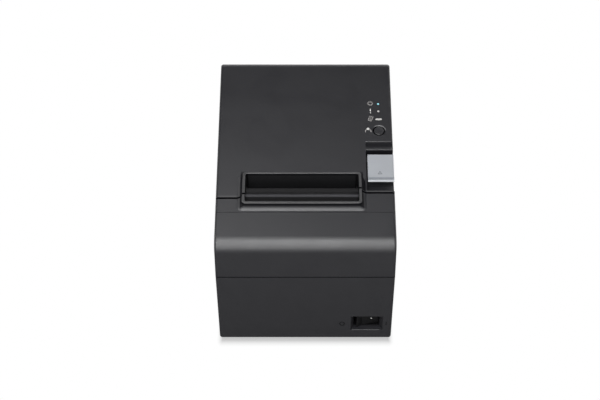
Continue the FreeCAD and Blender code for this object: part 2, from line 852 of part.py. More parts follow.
def switch_housing():
    """Body of the power switch behind the front wall, with its pivot and terminals."""
    x = (switch_x[0] - housing_wall, switch_x[1] + housing_wall)
    room_z = (switch_z[0] - housing_room_drop, switch_z[1])
    z = (room_z[0] - housing_wall, room_z[1] + housing_wall)
    start = front_y + switch_pad_depth[1]
    end = start + housing_depth
    room = box(switch_x, (start - 1, start + housing_room_depth), room_z)
    pivot_x = sum(switch_x) / 2
    pivot = post(rocker_pivot_radius, (pivot_x, front_y + rocker_pivot_depth), z)
    tab_y = (end, end + terminal_length)
    tabs = [box((tab, tab + terminal_thickness), tab_y, terminal_z) for tab in terminal_x]
    return joined(box(x, (start, end), z).cut(room), pivot, *tabs)


def power_rocker():
    """Rocker with a valley across its face, tipped to the on side."""
    z = (switch_z[0] + rocker_side_gap, switch_z[1] - rocker_side_gap)
    rocker = plate(rocker_outline, z)
    face_y = max(y for x, y in rocker_outline[1:4]) + slack
    rocker = rocker.makeFillet(rocker_edge_radius, edges_where(rocker, lambda point: point.y < face_y))
    rocker = rocker.cut(post(rocker_pivot_radius + running_gap, (0, 0), (0, far)))
    rocker.rotate(FreeCAD.Vector(0, 0, 0), FreeCAD.Vector(0, 0, 1), rocker_tilt)
    rocker.translate(FreeCAD.Vector(sum(switch_x) / 2, front_y + rocker_pivot_depth, 0))
    return rocker


def hinge_pin():
    return cross_rod(pin_radius, (-pin_half_length, pin_half_length), hinge_y, hinge_z)


def base_plate():
    base = rounded_box(plate_x, plate_y, plate_z, plate_corner)
    posts = [post(standoff_radius, place, (plate_z[1], board_z[0])) for place in standoff_places]
    holes = [post(plate_hole_radius, place, (0, board_z[0])) for place in boss_places()]
    bore_z = (plate_z[0] + standoff_floor, far)
    holes += [post(board_screw_hole, place, bore_z) for place in standoff_places]
    return joined(base, *posts).cut(holes)


def rubber_feet():
    feet = []
    for place in foot_places:
        foot = post(foot_radius, place, (0, plate_z[0]))
        feet.append(foot.makeFillet(foot_rounding, edges_where(foot, lambda point: point.z < slack)))
    return Part.makeCompound(feet)


def screw(place, sizes, drive):
    """Pan-head screw with a cross recess; its head stands on place and its shank runs against drive."""
    head_radius, head_height, shank_radius, length = sizes
    up = FreeCAD.Vector(*drive)
    start = FreeCAD.Vector(*place)
    head = Part.makeCylinder(head_radius, head_height, start, up)
    top_edge = max(head.Edges, key=lambda edge: edge.CenterOfMass.dot(up))
    head = head.makeFillet(head_height * screw_rounding, [top_edge])
    shank = Part.makeCylinder(shank_radius, length, start, up * -1)
    arm = head_radius * screw_slot_share
    slots = []
    for half_x, half_y in ((screw_slot_half, arm), (arm, screw_slot_half)):
        slot = box((-half_x, half_x), (-half_y, half_y), (head_height / 2, 2 * head_height))
        slot.Placement = FreeCAD.Placement(start, FreeCAD.Rotation(FreeCAD.Vector(0, 0, 1), up))
        slots.append(slot)
    return joined(head, shank).cut(slots)


def screws(places, z, sizes, drive):
    """One screw at each (x, y), with its head on the level z."""
    return Part.makeCompound([screw((*place, z), sizes, drive) for place in places])


def case_screws():
    return screws(boss_places(), plate_z[0], case_screw, (0, 0, -1))


def board_screws():
    return screws(standoff_places, board_z[1], board_screw, (0, 0, 1))


def chassis_screws():
    return screws(chassis_screw_places, deck_z + sheet, chassis_screw, (0, 0, 1))


def ribbon_slot(z):
    gap = ribbon_slot_gap
    return box((ribbon_x[0] - gap, ribbon_x[1] + gap), (ribbon_y[0] - gap, ribbon_y[1] + gap), z)


def paper_bay():
    """Drop-in trough for the roll, with the deck in front of it and the chute up to the head."""
    inner_x = around(paper_x, paper_width + 2 * bay_side_gap)
    outer_x = (inner_x[0] - bay_wall, inner_x[1] + bay_wall)
    inner = roll_radius + bay_roll_gap
    trough = cross_rod(inner + bay_wall, outer_x, bay_y, bay_z).cut(cross_rod(inner, inner_x, bay_y, bay_z))
    trough = trough.cut(zone_above(bay_rim_z))
    deck = box(deck_x, deck_y, (deck_z - deck_thickness, deck_z))
    deck = deck.cut(cross_rod(inner + bay_wall / 2, (-far, far), bay_y, bay_z))
    legs = [post(leg_radius, place, (plate_z[1], deck_z - deck_thickness / 2)) for place in leg_places]
    legs += [post(leg_radius, place, (plate_z[1], rear_leg_top_z)) for place in rear_leg_places]
    holes = [post(chassis_screw_hole, place, (0, deck_z + 1)) for place in chassis_screw_places]
    holes.append(ribbon_slot((0, deck_z + 1)))
    return joined(trough, deck, prism(chute_outline, chute_x), *legs).cut(holes)


def platen_notch():
    """Notch that opens along the platen's swing, so that it leaves with the roll cover."""
    lean = (platen_z - hinge_z) / (hinge_y - platen_y)
    mouth_y = platen_y + lean * notch_height
    radius = bush_radius + notch_gap
    top = platen_z + notch_height
    mouth = prism([
        (platen_y - radius, platen_z), (platen_y + radius, platen_z),
        (mouth_y + radius + notch_flare[0], top), (mouth_y - radius - notch_flare[1], top)], (-far, far))
    return [mouth, cross_rod(radius, (-far, far), platen_y, platen_z)]


def chassis():
    """Bent sheet: a floor, two side plates with open notches for the platen, and a cross plate."""
    inner_x = (chassis_x[0] + sheet, chassis_x[1] - sheet)
    front, rear = chassis_y
    shoulder = chassis_shoulder_z
    side = [
        (front, deck_z), (rear, deck_z), (rear, shoulder - chassis_corner), (rear - chassis_corner, shoulder),
        (chassis_step_y[1], shoulder), (chassis_step_y[0], cutter_z), (front, cutter_z)]
    frame = box(chassis_x, chassis_y, (deck_z, deck_z + sheet))
    cross = box(inner_x, cross_plate_y, cross_plate_z)
    plates = [prism(side, (chassis_x[0], inner_x[0])), prism(side, (inner_x[1], chassis_x[1]))]
    left = (chassis_x[0] - 1, inner_x[0] + 1)
    cuts = platen_notch() + [
        cross_rod(head_pin_radius, (-far, far), *head_pivot),
        cross_rod(stud_radius, left, reduction_y, reduction_z),
        cross_rod(motor_hole_radius, left, motor_y, motor_z), ribbon_slot((0, deck_z + 2 * sheet))]
    cuts += [post(chassis_screw_hole, place, (0, deck_z + 2 * sheet)) for place in chassis_screw_places]
    return joined(frame, cross, *plates).cut(cuts)


def thermal_head():
    """Ceramic strip with the cover over its driver chips."""
    face = sink_y[1] + ceramic_thickness
    strip = box(head_x, (sink_y[1], face), head_z)
    driver_x = (head_x[0] + driver_margin, head_x[1] - driver_margin)
    return joined(strip, box(driver_x, (face, face + driver_thickness), driver_z))


def head_heat_sink():
    sink = box(head_x, sink_y, (sink_low_z, head_z[1]))
    depth = (sink_y[0] - 1, sink_y[0] + sink_groove_depth)
    grooves = []
    for index in range(int((head_x[1] - head_x[0]) / sink_groove_pitch)):
        x = [head_x[0] + sink_groove_pitch * (index + share) for share in sink_groove_share]
        grooves.append(box(x, depth, (sink_groove_low_z, far)))
    return sink.cut(grooves + [cross_rod(head_pin_radius + running_gap, (-far, far), *head_pivot)])


def head_pin():
    x = (chassis_x[0] - head_pin_proud, chassis_x[1] + head_pin_proud)
    return cross_rod(head_pin_radius, x, *head_pivot)


def head_spring():
    """Leaf spring on the cross plate: a back strip and two fingers that reach for the head."""
    back = cross_plate_y[1]
    front = back + spring_thickness
    strip = box(spring_strip_x, (back, front), spring_strip_z)
    root_z = spring_strip_z[1] - 1
    finger = [(back, root_z), (front, root_z)] + [(sink_y[0] - short, z) for short, z in spring_tip]
    return joined(strip, *[prism(finger, x) for x in spring_finger_x])


def gear_outline(teeth, module, phase):
    """Points of a spur gear with straight flanks."""
    pitch_radius = module * teeth / 2
    tip = pitch_radius + tooth_tip * module
    root = pitch_radius - tooth_root * module
    half = tooth_share * math.pi * module / 2
    lean = math.tan(math.radians(tooth_flank))
    half_tip = (half - tooth_tip * module * lean) / tip
    half_root = (half + tooth_root * module * lean) / root
    points = []
    for index in range(teeth):
        centre = phase + 2 * math.pi * index / teeth
        for radius, angle in ((root, -half_root), (tip, -half_tip), (tip, half_tip), (root, half_root)):
            points.append((radius * math.cos(centre + angle), radius * math.sin(centre + angle)))
    return points


def cross_gear(teeth, phase, y, z, bore):
    """Spur gear turning about an axis along X."""
    outline = [(y + py, z + pz) for py, pz in gear_outline(teeth, gear_module, phase)]
    return prism(outline, gear_x).cut(cross_rod(bore, (-far, far), y, z))


def meshed_phase(phase, teeth, own_teeth, direction):
    """Where a gear's first tooth points, so that it meshes with a neighbour seen along direction."""
    return direction + math.pi + (direction - phase) * teeth / own_teeth + math.pi / own_teeth


platen_phase = math.atan2(reduction_offset[1], reduction_offset[0])
motor_direction = math.atan2(motor_offset[1], motor_offset[0])
reduction_phase = meshed_phase(platen_phase, platen_teeth, reduction_teeth, platen_phase)
pinion_phase = meshed_phase(reduction_phase, reduction_teeth, pinion_teeth, motor_direction)


def platen_gear():
    return cross_gear(platen_teeth, platen_phase, platen_y, platen_z, shaft_radius)


def reduction_gear():
    """Wide gear with its web thinned between the hub and the rim."""
    gear = cross_gear(reduction_teeth, reduction_phase, reduction_y, reduction_z, stud_radius + running_gap)
    hub_radius, rim_radius, depth = reduction_web
    x = (gear_x[0] - 1, gear_x[0] + depth)
    hub = cross_rod(hub_radius, (-far, far), reduction_y, reduction_z)
    return gear.cut(cross_rod(rim_radius, x, reduction_y, reduction_z).cut(hub))


def gear_stud():
    cap_x = (gear_x[0] - stud_cap[0], gear_x[0] - stud_cap[1])
    stud = cross_rod(stud_radius, (cap_x[0], chassis_x[0] + sheet), reduction_y, reduction_z)
    collar = cross_rod(stud_collar_radius, (gear_x[1] + stud_cap[1], chassis_x[0]), reduction_y, reduction_z)
    return joined(stud, collar, cross_rod(stud_cap_radius, cap_x, reduction_y, reduction_z))


def motor_pinion():
    return cross_gear(pinion_teeth, pinion_phase, motor_y, motor_z, motor_shaft_radius)


def motor_shaft():
    return cross_rod(motor_shaft_radius, (gear_x[0] - gear_proud, motor_shaft_end_x), motor_y, motor_z)


def feed_motor():
    face = chassis_x[0] + sheet
    ear_width, ear_height = motor_ears
    can = cross_rod(motor_radius, (face, face + motor_length), motor_y, motor_z)
    nose = cross_rod(motor_nose_radius, (face - sheet, face + sheet), motor_y, motor_z)
    ears = box((face, face + sheet), around(motor_y, ear_width), around(motor_z, ear_height))
    bore = cross_rod(motor_shaft_radius + running_gap, (gear_x[0], motor_bore_end_x), motor_y, motor_z)
    return joined(can, nose, ears).cut(bore)


def platen_shaft():
    return cross_rod(shaft_radius, (gear_x[0] - gear_proud, chassis_x[1] + shaft_proud), platen_y, platen_z)


def platen_rubber():
    x = around(paper_x, platen_length)
    return cross_rod(platen_radius, x, platen_y, platen_z).cut(cross_rod(shaft_radius, x, platen_y, platen_z))


def platen_bushes():
    bushes = []
    for x in ((chassis_x[0] - bush_proud, arm_x[0][1]), (arm_x[1][0], chassis_x[1] + bush_proud)):
        bush = cross_rod(bush_radius, x, platen_y, platen_z)
        bushes.append(bush.cut(cross_rod(shaft_radius + running_gap, x, platen_y, platen_z)))
    return Part.makeCompound(bushes)


def cover_liner():
    """Inside of the roll cover: rear wall of the slot, blade shelf, rear beam and platen arms."""
    def under_cover(y):
        return (y, top_start[1] + (y - top_start[0]) * along[1] / along[0] - wall / along[0])

    slot_rear = on_top(slot_s[1] + lip_gap, -wall)
    front, rear = liner_y
    low, high = shelf_z
    slot_wall = prism([
        slot_rear, (slot_wall_foot_y, high), (shelf_front_y, high), (shelf_front_y, low), (front, low),
        (front, high), under_cover(slot_rear[0] + slot_wall_thickness)], (arm_x[0][1], arm_x[1][0]))
    tongue_front = slot_s[1] + lip_gap
    tongue_rear = slot_s[1] + lip_depth - lip_gap
    tongue_head = lip_h - lip_gap
    lip_tongue = top_prism(sharp([
        (tongue_front, tongue_head), (tongue_rear, tongue_head), (tongue_rear, -2 * wall),
        (tongue_front, -wall)]), (arm_x[0][1], arm_x[1][0]))
    beam = prism(
        [(front, beam_low_z), (rear, beam_low_z), under_cover(rear), under_cover(front)],
        (arm_x[0][0], arm_x[1][1]))
    arm = [*arm_front, (rear, arm_low_z), (rear, high), *arm_rear]
    arms = [prism(arm, x) for x in arm_x]
    liner = joined(slot_wall, lip_tongue, beam, *arms)
    return liner.cut(cross_rod(bush_radius, (-far, far), platen_y, platen_z))


def fixed_blade():
    x = (arm_x[0][1] + fixed_blade_gap, arm_x[1][0] - fixed_blade_gap)
    blade = box(x, fixed_blade_y, (shelf_z[0] - blade_thickness, shelf_z[0]))
    return blade.cut([post(chassis_screw_hole, place, (0, far)) for place in blade_screw_places])


def blade_screws():
    return screws(blade_screw_places, shelf_z[0] - blade_thickness, blade_screw, (0, 0, -1))


def cutter_frame():
    """Bed that the knife slides on, with a rail along each side."""
    bed = box(chassis_x, frame_y, (cutter_z, frame_top))
    left = (chassis_x[0], blade_x[0] - rail_gap)
    right = (blade_x[1] + rail_gap, chassis_x[1])
    rails = [box(x, frame_y, (frame_top, rail_top)) for x in (left, right)]
    return joined(bed, *rails).cut(post(cutter_frame_hole, cutter_axis, (0, far)))


def moving_blade():
    """Sliding knife: a shallow V edge at the rear, and a slot with rack teeth for the pinion."""
    shoulder_y = blade_edge_y - blade_shoulder
    tongue = (arm_x[0][1] + blade_tongue_gap, arm_x[1][0] - blade_tongue_gap)
    blade = plate([
        (blade_x[0], blade_front_y), (blade_x[1], blade_front_y), (blade_x[1], shoulder_y),
        (tongue[1], shoulder_y), (tongue[1], blade_edge_y), (paper_x, blade_edge_y - blade_v),
        (tongue[0], blade_edge_y), (tongue[0], shoulder_y), (blade_x[0], shoulder_y)], moving_blade_z)
    x, y = cutter_axis
    half_slot, left_gap = rack_slot
    pitch_radius = cutter_module * cutter_teeth / 2
    root_x = x + pitch_radius + rack_root * cutter_module
    tip_x = x + pitch_radius - tooth_tip * cutter_module
    slot = box((x - pitch_radius - left_gap, root_x), (y - half_slot - blade_travel, y + half_slot), (0, far))
    half = tooth_share * math.pi * cutter_module / 2
    teeth = []
    for index in range(rack_teeth):
        middle = y + (rack_first_tooth + index) * math.pi * cutter_module
        teeth.append(plate([
            (root_x + bite, middle - half - bite), (tip_x, middle - half + rack_flank),
            (tip_x, middle + half - rack_flank), (root_x + bite, middle + half + bite)], moving_blade_z))
    return joined(blade.cut(slot), *teeth)


def cutter_pinion():
    x, y = cutter_axis
    outline = [(x + px, y + py) for px, py in gear_outline(cutter_teeth, cutter_module, 0)]
    gear = plate(outline, cutter_pinion_z)
    return joined(gear, post(cutter_shaft_radius, cutter_axis, (cutter_shaft_low_z, cutter_pinion_z[0])))


def cutter_knob():
    """Thumb knob that winds a jammed knife home, ribbed round its edge."""
    x, y = cutter_axis
    notches = []
    for index in range(knob_grips):
        angle = 2 * math.pi * index / knob_grips
        place = (x + knob_grip_circle * math.cos(angle), y + knob_grip_circle * math.sin(angle))
        notches.append(post(knob_grip_radius, place, (knob_z[0] + knob_skirt, far)))
    return post(knob_radius, cutter_axis, knob_z).cut(notches)


def cutter_motor():
    can = post(cutter_motor_radius, cutter_axis, (cutter_motor_low_z, cutter_z))
    return can.cut(post(cutter_shaft_radius + running_gap, cutter_axis, (cutter_motor_bore_z, far)))


def main_board():
    board = box(board_x, board_y, board_z)
    room = [post(leg_radius + board_leg_gap, place, (0, far)) for place in leg_places + rear_leg_places]
    room += [post(board_screw_hole, place, (0, far)) for place in standoff_places]
    return board.cut(room)


def board_chips():
    """Processor, memory, ribbon connector and capacitors on the main board."""
    top = board_z[1]
    chips = [box(x, y, (top, top + height)) for x, y, height in (processor_box, memory_box)]
    connector_x_limits = (ribbon_x[0] - ribbon_socket_margin, ribbon_x[1] + ribbon_socket_margin)
    chips.append(box(connector_x_limits, ribbon_socket_y, (top, top + ribbon_socket_height)))
    radius, height = capacitor_size
    chips += [post(radius, place, (top, top + height)) for place in capacitor_places]
    return Part.makeCompound(chips)


def head_ribbon():
    return box(ribbon_x, ribbon_y, (board_z[1], head_z[0] - bite))


def socket_body(x, size):
    width, height, depth = size
    return box(around(x, width), (socket_y - depth, socket_y), (board_z[1], board_z[1] + height))


def socket(x, size, mouth):
    """Board-mounted socket with a rectangular mouth at the rear."""
    width, low, height, depth = mouth
    low += board_z[1]
    return socket_body(x, size).cut(box(around(x, width), (socket_y - depth, far), (low, low + height)))


def usb_socket():
    return socket(usb_x, usb_size, usb_mouth)


def lan_socket():
    return socket(lan_x, lan_size, lan_mouth)


def drawer_socket():
    return socket(drawer_x, drawer_size, drawer_mouth)


def power_socket():
    start = (power_x, socket_y - power_mouth_depth, power_mouth_z)
    return socket_body(power_x, power_size).cut(cylinder(power_mouth_radius, start, (0, 1, 0), far))


def connector_panel():
    """Plate behind the rear wall, with a window for each socket."""
    sheet_y = (rear_y - panel_inset[0], rear_y - panel_inset[1])
    panel = box(
        (connector_x[0] - panel_margin, connector_x[1] + panel_margin), sheet_y,
        (connector_z[0] - panel_margin, connector_z[1] + panel_margin))
    low = board_z[1] - socket_gap
    windows = []
    for x, size in ((usb_x, usb_size), (lan_x, lan_size), (drawer_x, drawer_size), (power_x, power_size)):
        width, height, depth = size
        windows.append(box(around(x, width + 2 * socket_gap), (0, far), (low, low + height + 2 * socket_gap)))
    return panel.cut(windows)


def paper_sensor():
    """Reflective sensor under the chute."""
    return prism(sensor_outline, sensor_x)


def main():
    os.makedirs("parts", exist_ok=True)
    shell = case_shell()
    pieces = {piece.__name__: piece(shell) for piece in (lower_case, cutter_cover, upper_case, roll_cover)}
    for piece in (
            paper_guide, open_lever, lever_pin, power_lens, error_lens, paper_lens, feed_button,
            indicator_board, indicator_leds, button_switch, switch_housing, power_rocker, hinge_pin,
            base_plate, rubber_feet, case_screws, board_screws, chassis_screws, paper_bay, chassis,
            thermal_head, head_heat_sink, head_pin, head_spring, platen_gear, reduction_gear, gear_stud,
            motor_pinion, motor_shaft, feed_motor, platen_shaft, platen_rubber, platen_bushes, cover_liner,
            fixed_blade, blade_screws, cutter_frame, moving_blade, cutter_pinion, cutter_knob, cutter_motor,
            main_board, board_chips, head_ribbon, usb_socket, lan_socket, drawer_socket, power_socket,
            connector_panel, paper_sensor):
        pieces[piece.__name__] = piece()
    for name, shape in pieces.items():
        shape.exportStep("parts/" + name + ".step")


main()
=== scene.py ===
import json
import math
from types import SimpleNamespace

import bpy
from mathutils import Matrix, Vector


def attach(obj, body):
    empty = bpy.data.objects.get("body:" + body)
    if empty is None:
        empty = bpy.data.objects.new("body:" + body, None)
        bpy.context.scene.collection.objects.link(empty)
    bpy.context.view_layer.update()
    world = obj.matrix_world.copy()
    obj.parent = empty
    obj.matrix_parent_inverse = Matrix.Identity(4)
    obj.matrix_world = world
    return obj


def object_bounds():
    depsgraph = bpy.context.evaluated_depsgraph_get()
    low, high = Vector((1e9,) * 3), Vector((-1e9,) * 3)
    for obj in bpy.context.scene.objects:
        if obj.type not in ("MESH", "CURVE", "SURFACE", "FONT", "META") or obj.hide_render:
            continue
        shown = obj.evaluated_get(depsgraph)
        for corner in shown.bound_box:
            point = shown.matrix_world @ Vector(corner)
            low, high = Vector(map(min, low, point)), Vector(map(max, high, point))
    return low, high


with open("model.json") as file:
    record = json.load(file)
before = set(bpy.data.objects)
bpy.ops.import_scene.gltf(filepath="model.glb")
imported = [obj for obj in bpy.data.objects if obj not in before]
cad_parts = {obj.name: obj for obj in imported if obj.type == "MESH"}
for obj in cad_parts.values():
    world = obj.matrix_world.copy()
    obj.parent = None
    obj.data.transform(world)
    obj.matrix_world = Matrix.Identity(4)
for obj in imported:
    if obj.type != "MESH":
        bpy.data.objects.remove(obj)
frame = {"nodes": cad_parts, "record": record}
cad_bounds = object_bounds()

MM = 0.001

# Camera that matches the photo
camera_place = (0.0, -0.9564, 0.9124)
camera_drop = math.radians(41.6)
camera_lens = 92.51
camera_sensor = 36
camera_shift = (-0.0089, 0.0001)

# Table: its size and colour, and how white it looks right beside the case
table_size = 6
table_colour = (0.2, 0.2, 0.2)
contact_glow = 0.51

# Shadow on the table round the case, partly a painted grey band: how far it reaches, how it fades, and how
# soon it ends at the sides
shadow_reach = 8.0 * MM
shadow_curve = 1.8
side_fade = 1.6
side_inset = 3.0 * MM

# The pale surroundings in a mirror: from how far off the table shows, and how white
mirror_reach = (300 * MM, 1000 * MM)
mirror_white = 0.63

# The room: its grey, and the pale horizon behind the printer, by the height and depth of a direction
room_grey = (0.038, 0.038, 0.038, 1)
plain_white = (1, 1, 1, 1)
horizon_height = (0.0, 0.2)
horizon_depth = (0.0, 0.5)

# Softboxes: name, place, the spot they face, size and power
nose_spot = (0, -0.09, 0.1)
slot_spot = (0, -0.05, 0.11)
rear_spot = (0, 0.09, 0.08)
middle_spot = (0, 0, 0.07)
softboxes = (
    ("front_softbox", (-0.1, -0.9, 0.3), nose_spot, (0.5, 0.3), 2.35),
    ("high_front_softbox", (-0.1, -0.75, 0.6), nose_spot, (0.5, 0.2), 1.95),
    ("front_strip", (0, -0.5, 0.53), slot_spot, (0.5, 0.15), 0.74),
    ("high_strip", (0, -0.3, 0.6), slot_spot, (0.5, 0.15), 1.64),
    ("overhead_strip", (-0.11, -0.129, 0.543), nose_spot, (0.4, 0.25), 0.74),
    ("rear_softbox", (0.3, 1.0, 0.4), rear_spot, (0.8, 0.5), 3.9),
    ("left_softbox", (-0.9, 0.1, 0.13), middle_spot, (0.6, 0.2), 1.5),
    ("right_softbox", (0.9, 0.1, 0.13), middle_spot, (0.6, 0.2), 1.5))

# Plastic: how fine its flow marks, smears, grain and painted highlights are, and how deep the grain is
flow_scale = 22
inner_flow_scale = 60
smear_scale = 34
spark_scale = 2400
highlight_patch_scale = 160
coarse_grain = 0.03 * MM
lever_grain = 0.02 * MM
fine_grain = 0.01 * MM

# The sloping top: where it starts behind the nose, its slope, and what counts as close to it
top_start = (-91.373 * MM, 107.228 * MM)
top_slope = math.radians(13.06)
top_place = Matrix.Translation((0, *top_start)) @ Matrix.Rotation(top_slope, 4, "X")
close_to_top = 0.12 * MM

# Rim of the paper slot: its outside, its height in front, its fall rearwards, and how far down its painted
# highlight reaches
rim_x = (-49.4 * MM, 44.0 * MM)
rim_s = (26.7 * MM, 60.8 * MM)
rim_height = 6.35 * MM
rim_fall = 0.157
rim_top = (0.2 * MM, 0.6 * MM)
soft_highlight_grey = (0.039, 0.039, 0.041, 1)

# Painted shade at the foot of the rim: how far below the rim's top it starts, and how far out it reaches
foot_depth = (0.4 * MM, 1.4 * MM)
foot_reach = (0.0, 1.2 * MM)
side_foot_reach = (1.2 * MM, 1.7 * MM)

# Wedge of painted shadow between the rim and the lever: where it starts, how wide it is, and how it narrows
# rearwards
wedge_start_s = (41.5 * MM, 43.0 * MM)
wedge_foot = (0.0, 0.2 * MM)
wedge_reach = (2.8 * MM, 3.5 * MM)
wedge_narrowing = 3.0 * MM
wedge_narrows_s = (51.5 * MM, 59.0 * MM)

# Painted highlight on the slope of the skirt left of the rim
slope_reach = (1.8 * MM, 4.0 * MM)
slope_s = (23.5 * MM, 57.0 * MM)

# Seam in front of the roll cover: up to which x it lies how far along the top, its painted shade and the
# painted highlight on its edge
seam_steps = ((rim_x[0], 35.9 * MM), (0.0, 37.05 * MM), (rim_x[1], 43.2 * MM), (math.inf, 41.0 * MM))
seam_gap = (0.75 * MM, 0.9375 * MM)
seam_edge = (1.1 * MM, 2.4 * MM)

# Belt seam of the case, and where its painted shade thins out above and below
belt_z = 71.3 * MM
belt_gap = (0.45 * MM, 0.5625 * MM)

# Feed button: its middle as (x, s), the gap round it with its painted shade, and the painted highlight behind
# it, turned a little to the right
button_spot = (59.3 * MM, 102.6 * MM)
button_gap = (4.0 * MM, 4.9 * MM)
button_shine = (4.9 * MM, 5.7 * MM)
shine_start = (1.5 * MM, 3.5 * MM)
shine_turn = 0.4

# Painted highlight on the rear edge of the top, and the painted shade in the lever's recess
rear_edge_s = (169.8 * MM, 171.4 * MM)
rear_edge_rise = (-2.2 * MM, -1.8 * MM)
bright_highlight_grey = (0.12, 0.12, 0.125, 1)
recess_x = 48.0 * MM
recess_s = (42.9 * MM, 91.5 * MM)
recess_rise = (-1.6 * MM, -0.6 * MM)
recess_floor = -7.2 * MM

# How dark the painted shade is against the case, and how strong it is in each place
painted_shade_darkness = 0.3
foot_shade_strength = 0.8
wedge_shade_strength = 0.85
seam_shade_strength = 0.88
belt_shade_strength = 0.6
button_gap_shade_strength = 0.9
recess_shade_strength = 0.4

# Lip at the lever's front with a painted highlight, and the hollow behind it with painted shade
lever_lip_s = 52.55 * MM
lever_hollow_s = (lever_lip_s, 56.0 * MM)
lever_lip_highlight = (0.43, 0.447, 0.469, 1)
lever_hollow_shade = (0.245, 0.26, 0.285, 1)

# Ridge that the paper runs over inside the slot, and its painted highlight
ridge_s = (37.6 * MM, 39.8 * MM)
ridge_rise = -1.2 * MM
ridge_highlight_lightening = 6.0

# New pieces: rounding, the angle shaded smooth, how square to an axis a picked face is, corners of round ones
edge_rounding = 0.02 * MM
smooth_angle = math.radians(35)
square_to_axis = 0.9
ring_corners = 48
dot_corners = 24
pin_corners = 20

# Marks beside the lights, at (x, s): rings as radius and stroke, dots radius and inset, bars size and radius
print_thickness = 0.06 * MM
bedded_thickness = 1.5 * print_thickness
power_mark = (52.8 * MM, 130.7 * MM)
power_ring = (2.15 * MM, 0.8 * MM)
power_ring_gap = 0.8 * MM
power_bar = (0.65 * MM, 2.2 * MM, 0.2 * MM)
power_bar_rise = 1.4 * MM
warning_bar_spot = (52.8 * MM, 123.6 * MM)
warning_bar = (1.0 * MM, 2.8 * MM, 0.4 * MM)
warning_dot_spot = (52.8 * MM, 120.9 * MM)
warning_dot = (0.55 * MM, 0.15 * MM)
paper_mark = (52.8 * MM, 114.85 * MM)
paper_turn = -0.35
paper_sheet = (3.4 * MM, 5.0 * MM, 0.3 * MM)
paper_stroke = 0.6 * MM
paper_line = (1.4 * MM, 0.5 * MM, 0.15 * MM)
paper_line_pitch = 1.1 * MM
feed_bow_spot = (50.6 * MM, 101.9 * MM)
feed_bow = (2.6 * MM, 0.8 * MM)
feed_bow_end = -0.9 * MM
feed_drop_spot = (50.6 * MM, 104.3 * MM)
feed_drop = (1.1 * MM, 0.2 * MM)

# Triangle on the lever, darker than the lever as painted shade of its raised edges
lever_mark = (58.9 * MM, 60.1 * MM)
lever_triangle = (2.2 * MM, 0.55 * MM)
lever_triangle_height = 0.15 * MM
lever_top = 0.12 * MM

# Power switch: the rocker's dot, and two marks in the case beside it, black in their hollows as painted
# shade, as (x, z)
case_front = -99.5 * MM
rocker_dot_spot = (53.1 * MM, 18.8 * MM)
rocker_dot = (0.65 * MM, 0.2 * MM)
off_ring_spot = (29.4 * MM, 19.3 * MM)
off_ring = (2.15 * MM, 0.6 * MM)
on_bar_spot = (64.65 * MM, 19.75 * MM)
on_bar = (0.6 * MM, 3.4 * MM, 0.1 * MM)
groove_shade_floor = 0.28 * MM
groove_shade_thickness = 0.1 * MM

# Sockets at the rear: middle of each mouth as (x, z), the y of the mouths, and the linings in two of them
socket_mouth = 98.3 * MM
data_mouth = (6.0 * MM, 16.2 * MM)
network_mouth = (30.0 * MM, 17.3 * MM)
drawer_mouth = (-18.0 * MM, 16.9 * MM)
power_mouth = (-42.0 * MM, 19.0 * MM)
lining_wall = 0.3 * MM
network_lining = (11.2 * MM, 11.3 * MM, 8.6 * MM)
data_lining = (7.8 * MM, 8.3 * MM, 7.0 * MM)

# Bent contacts: count, y and rise of their roots, their pitch, size of the root, way down and turned-up tip
network_contacts = (8, 87.2 * MM, 4.0 * MM)
drawer_contacts = (6, 87.8 * MM, 3.9 * MM)
contact_pitch = 1.02 * MM
contact_root = (0.42 * MM, 0.5 * MM, 0.3 * MM)
contact_fall = (0, 5.5 * MM, -3.4 * MM)
contact_tip = (0, 1.1 * MM, 0.5 * MM)

# Data socket's tongue and the contacts on it, and the pins of the power socket
tongue_y = 93.3 * MM
tongue_size = (5.6 * MM, 8.0 * MM, 3.2 * MM)
tongue_rounding = 0.3 * MM
tongue_contact = (0.6 * MM, 6.4 * MM, 0.25 * MM)
tongue_contact_offset = (1.25 * MM, 1.65 * MM)
power_pins = 3
power_pin_radius = 0.65 * MM
power_pin_circle = 2.5 * MM
power_pin_length = 7.0 * MM
power_pin_depth = 9.9 * MM
power_pin_rounding = 0.25 * MM

# Ribs under the roll cover: the wall they stand on, their section, and where they run
case_wall = 2.5 * MM
rib_width = 0.98 * MM
rib_height = 1.5 * MM
rib_rounding = 0.15 * MM
long_rib_x = (-45 * MM, -15 * MM, 15 * MM)
long_rib_length = 68 * MM
long_rib_middle = 131 * MM
cross_rib_s = (112 * MM, 150 * MM)
cross_rib_length = 104 * MM
cross_rib_middle = -12 * MM

# Flaps that close the side seams from inside: size, and middle in the frame of the sloping top
flap_rounding = 0.05 * MM
side_flaps = (
    ("left_flap", (0.25 * MM, 8 * MM, 41 * MM), (-67.3 * MM, 35.9 * MM, -23.5 * MM)),
    ("right_flap", (0.25 * MM, 6 * MM, 33 * MM), (67.3 * MM, 40.5 * MM, -27 * MM)))


class Value:
    """A shader socket that takes part in ordinary sums."""

    def __init__(self, paint, socket):
        self.paint = paint
        self.socket = socket

    def __add__(self, other):
        return self.paint.maths("ADD", self, other)

    def __radd__(self, other):
        return self.paint.maths("ADD", other, self)

    def __sub__(self, other):
        return self.paint.maths("SUBTRACT", self, other)

    def __rsub__(self, other):
        return self.paint.maths("SUBTRACT", other, self)

    def __mul__(self, other):
        return self.paint.maths("MULTIPLY", self, other)

    def __rmul__(self, other):
        return self.paint.maths("MULTIPLY", other, self)

    def __pow__(self, other):
        return self.paint.maths("POWER", self, other)


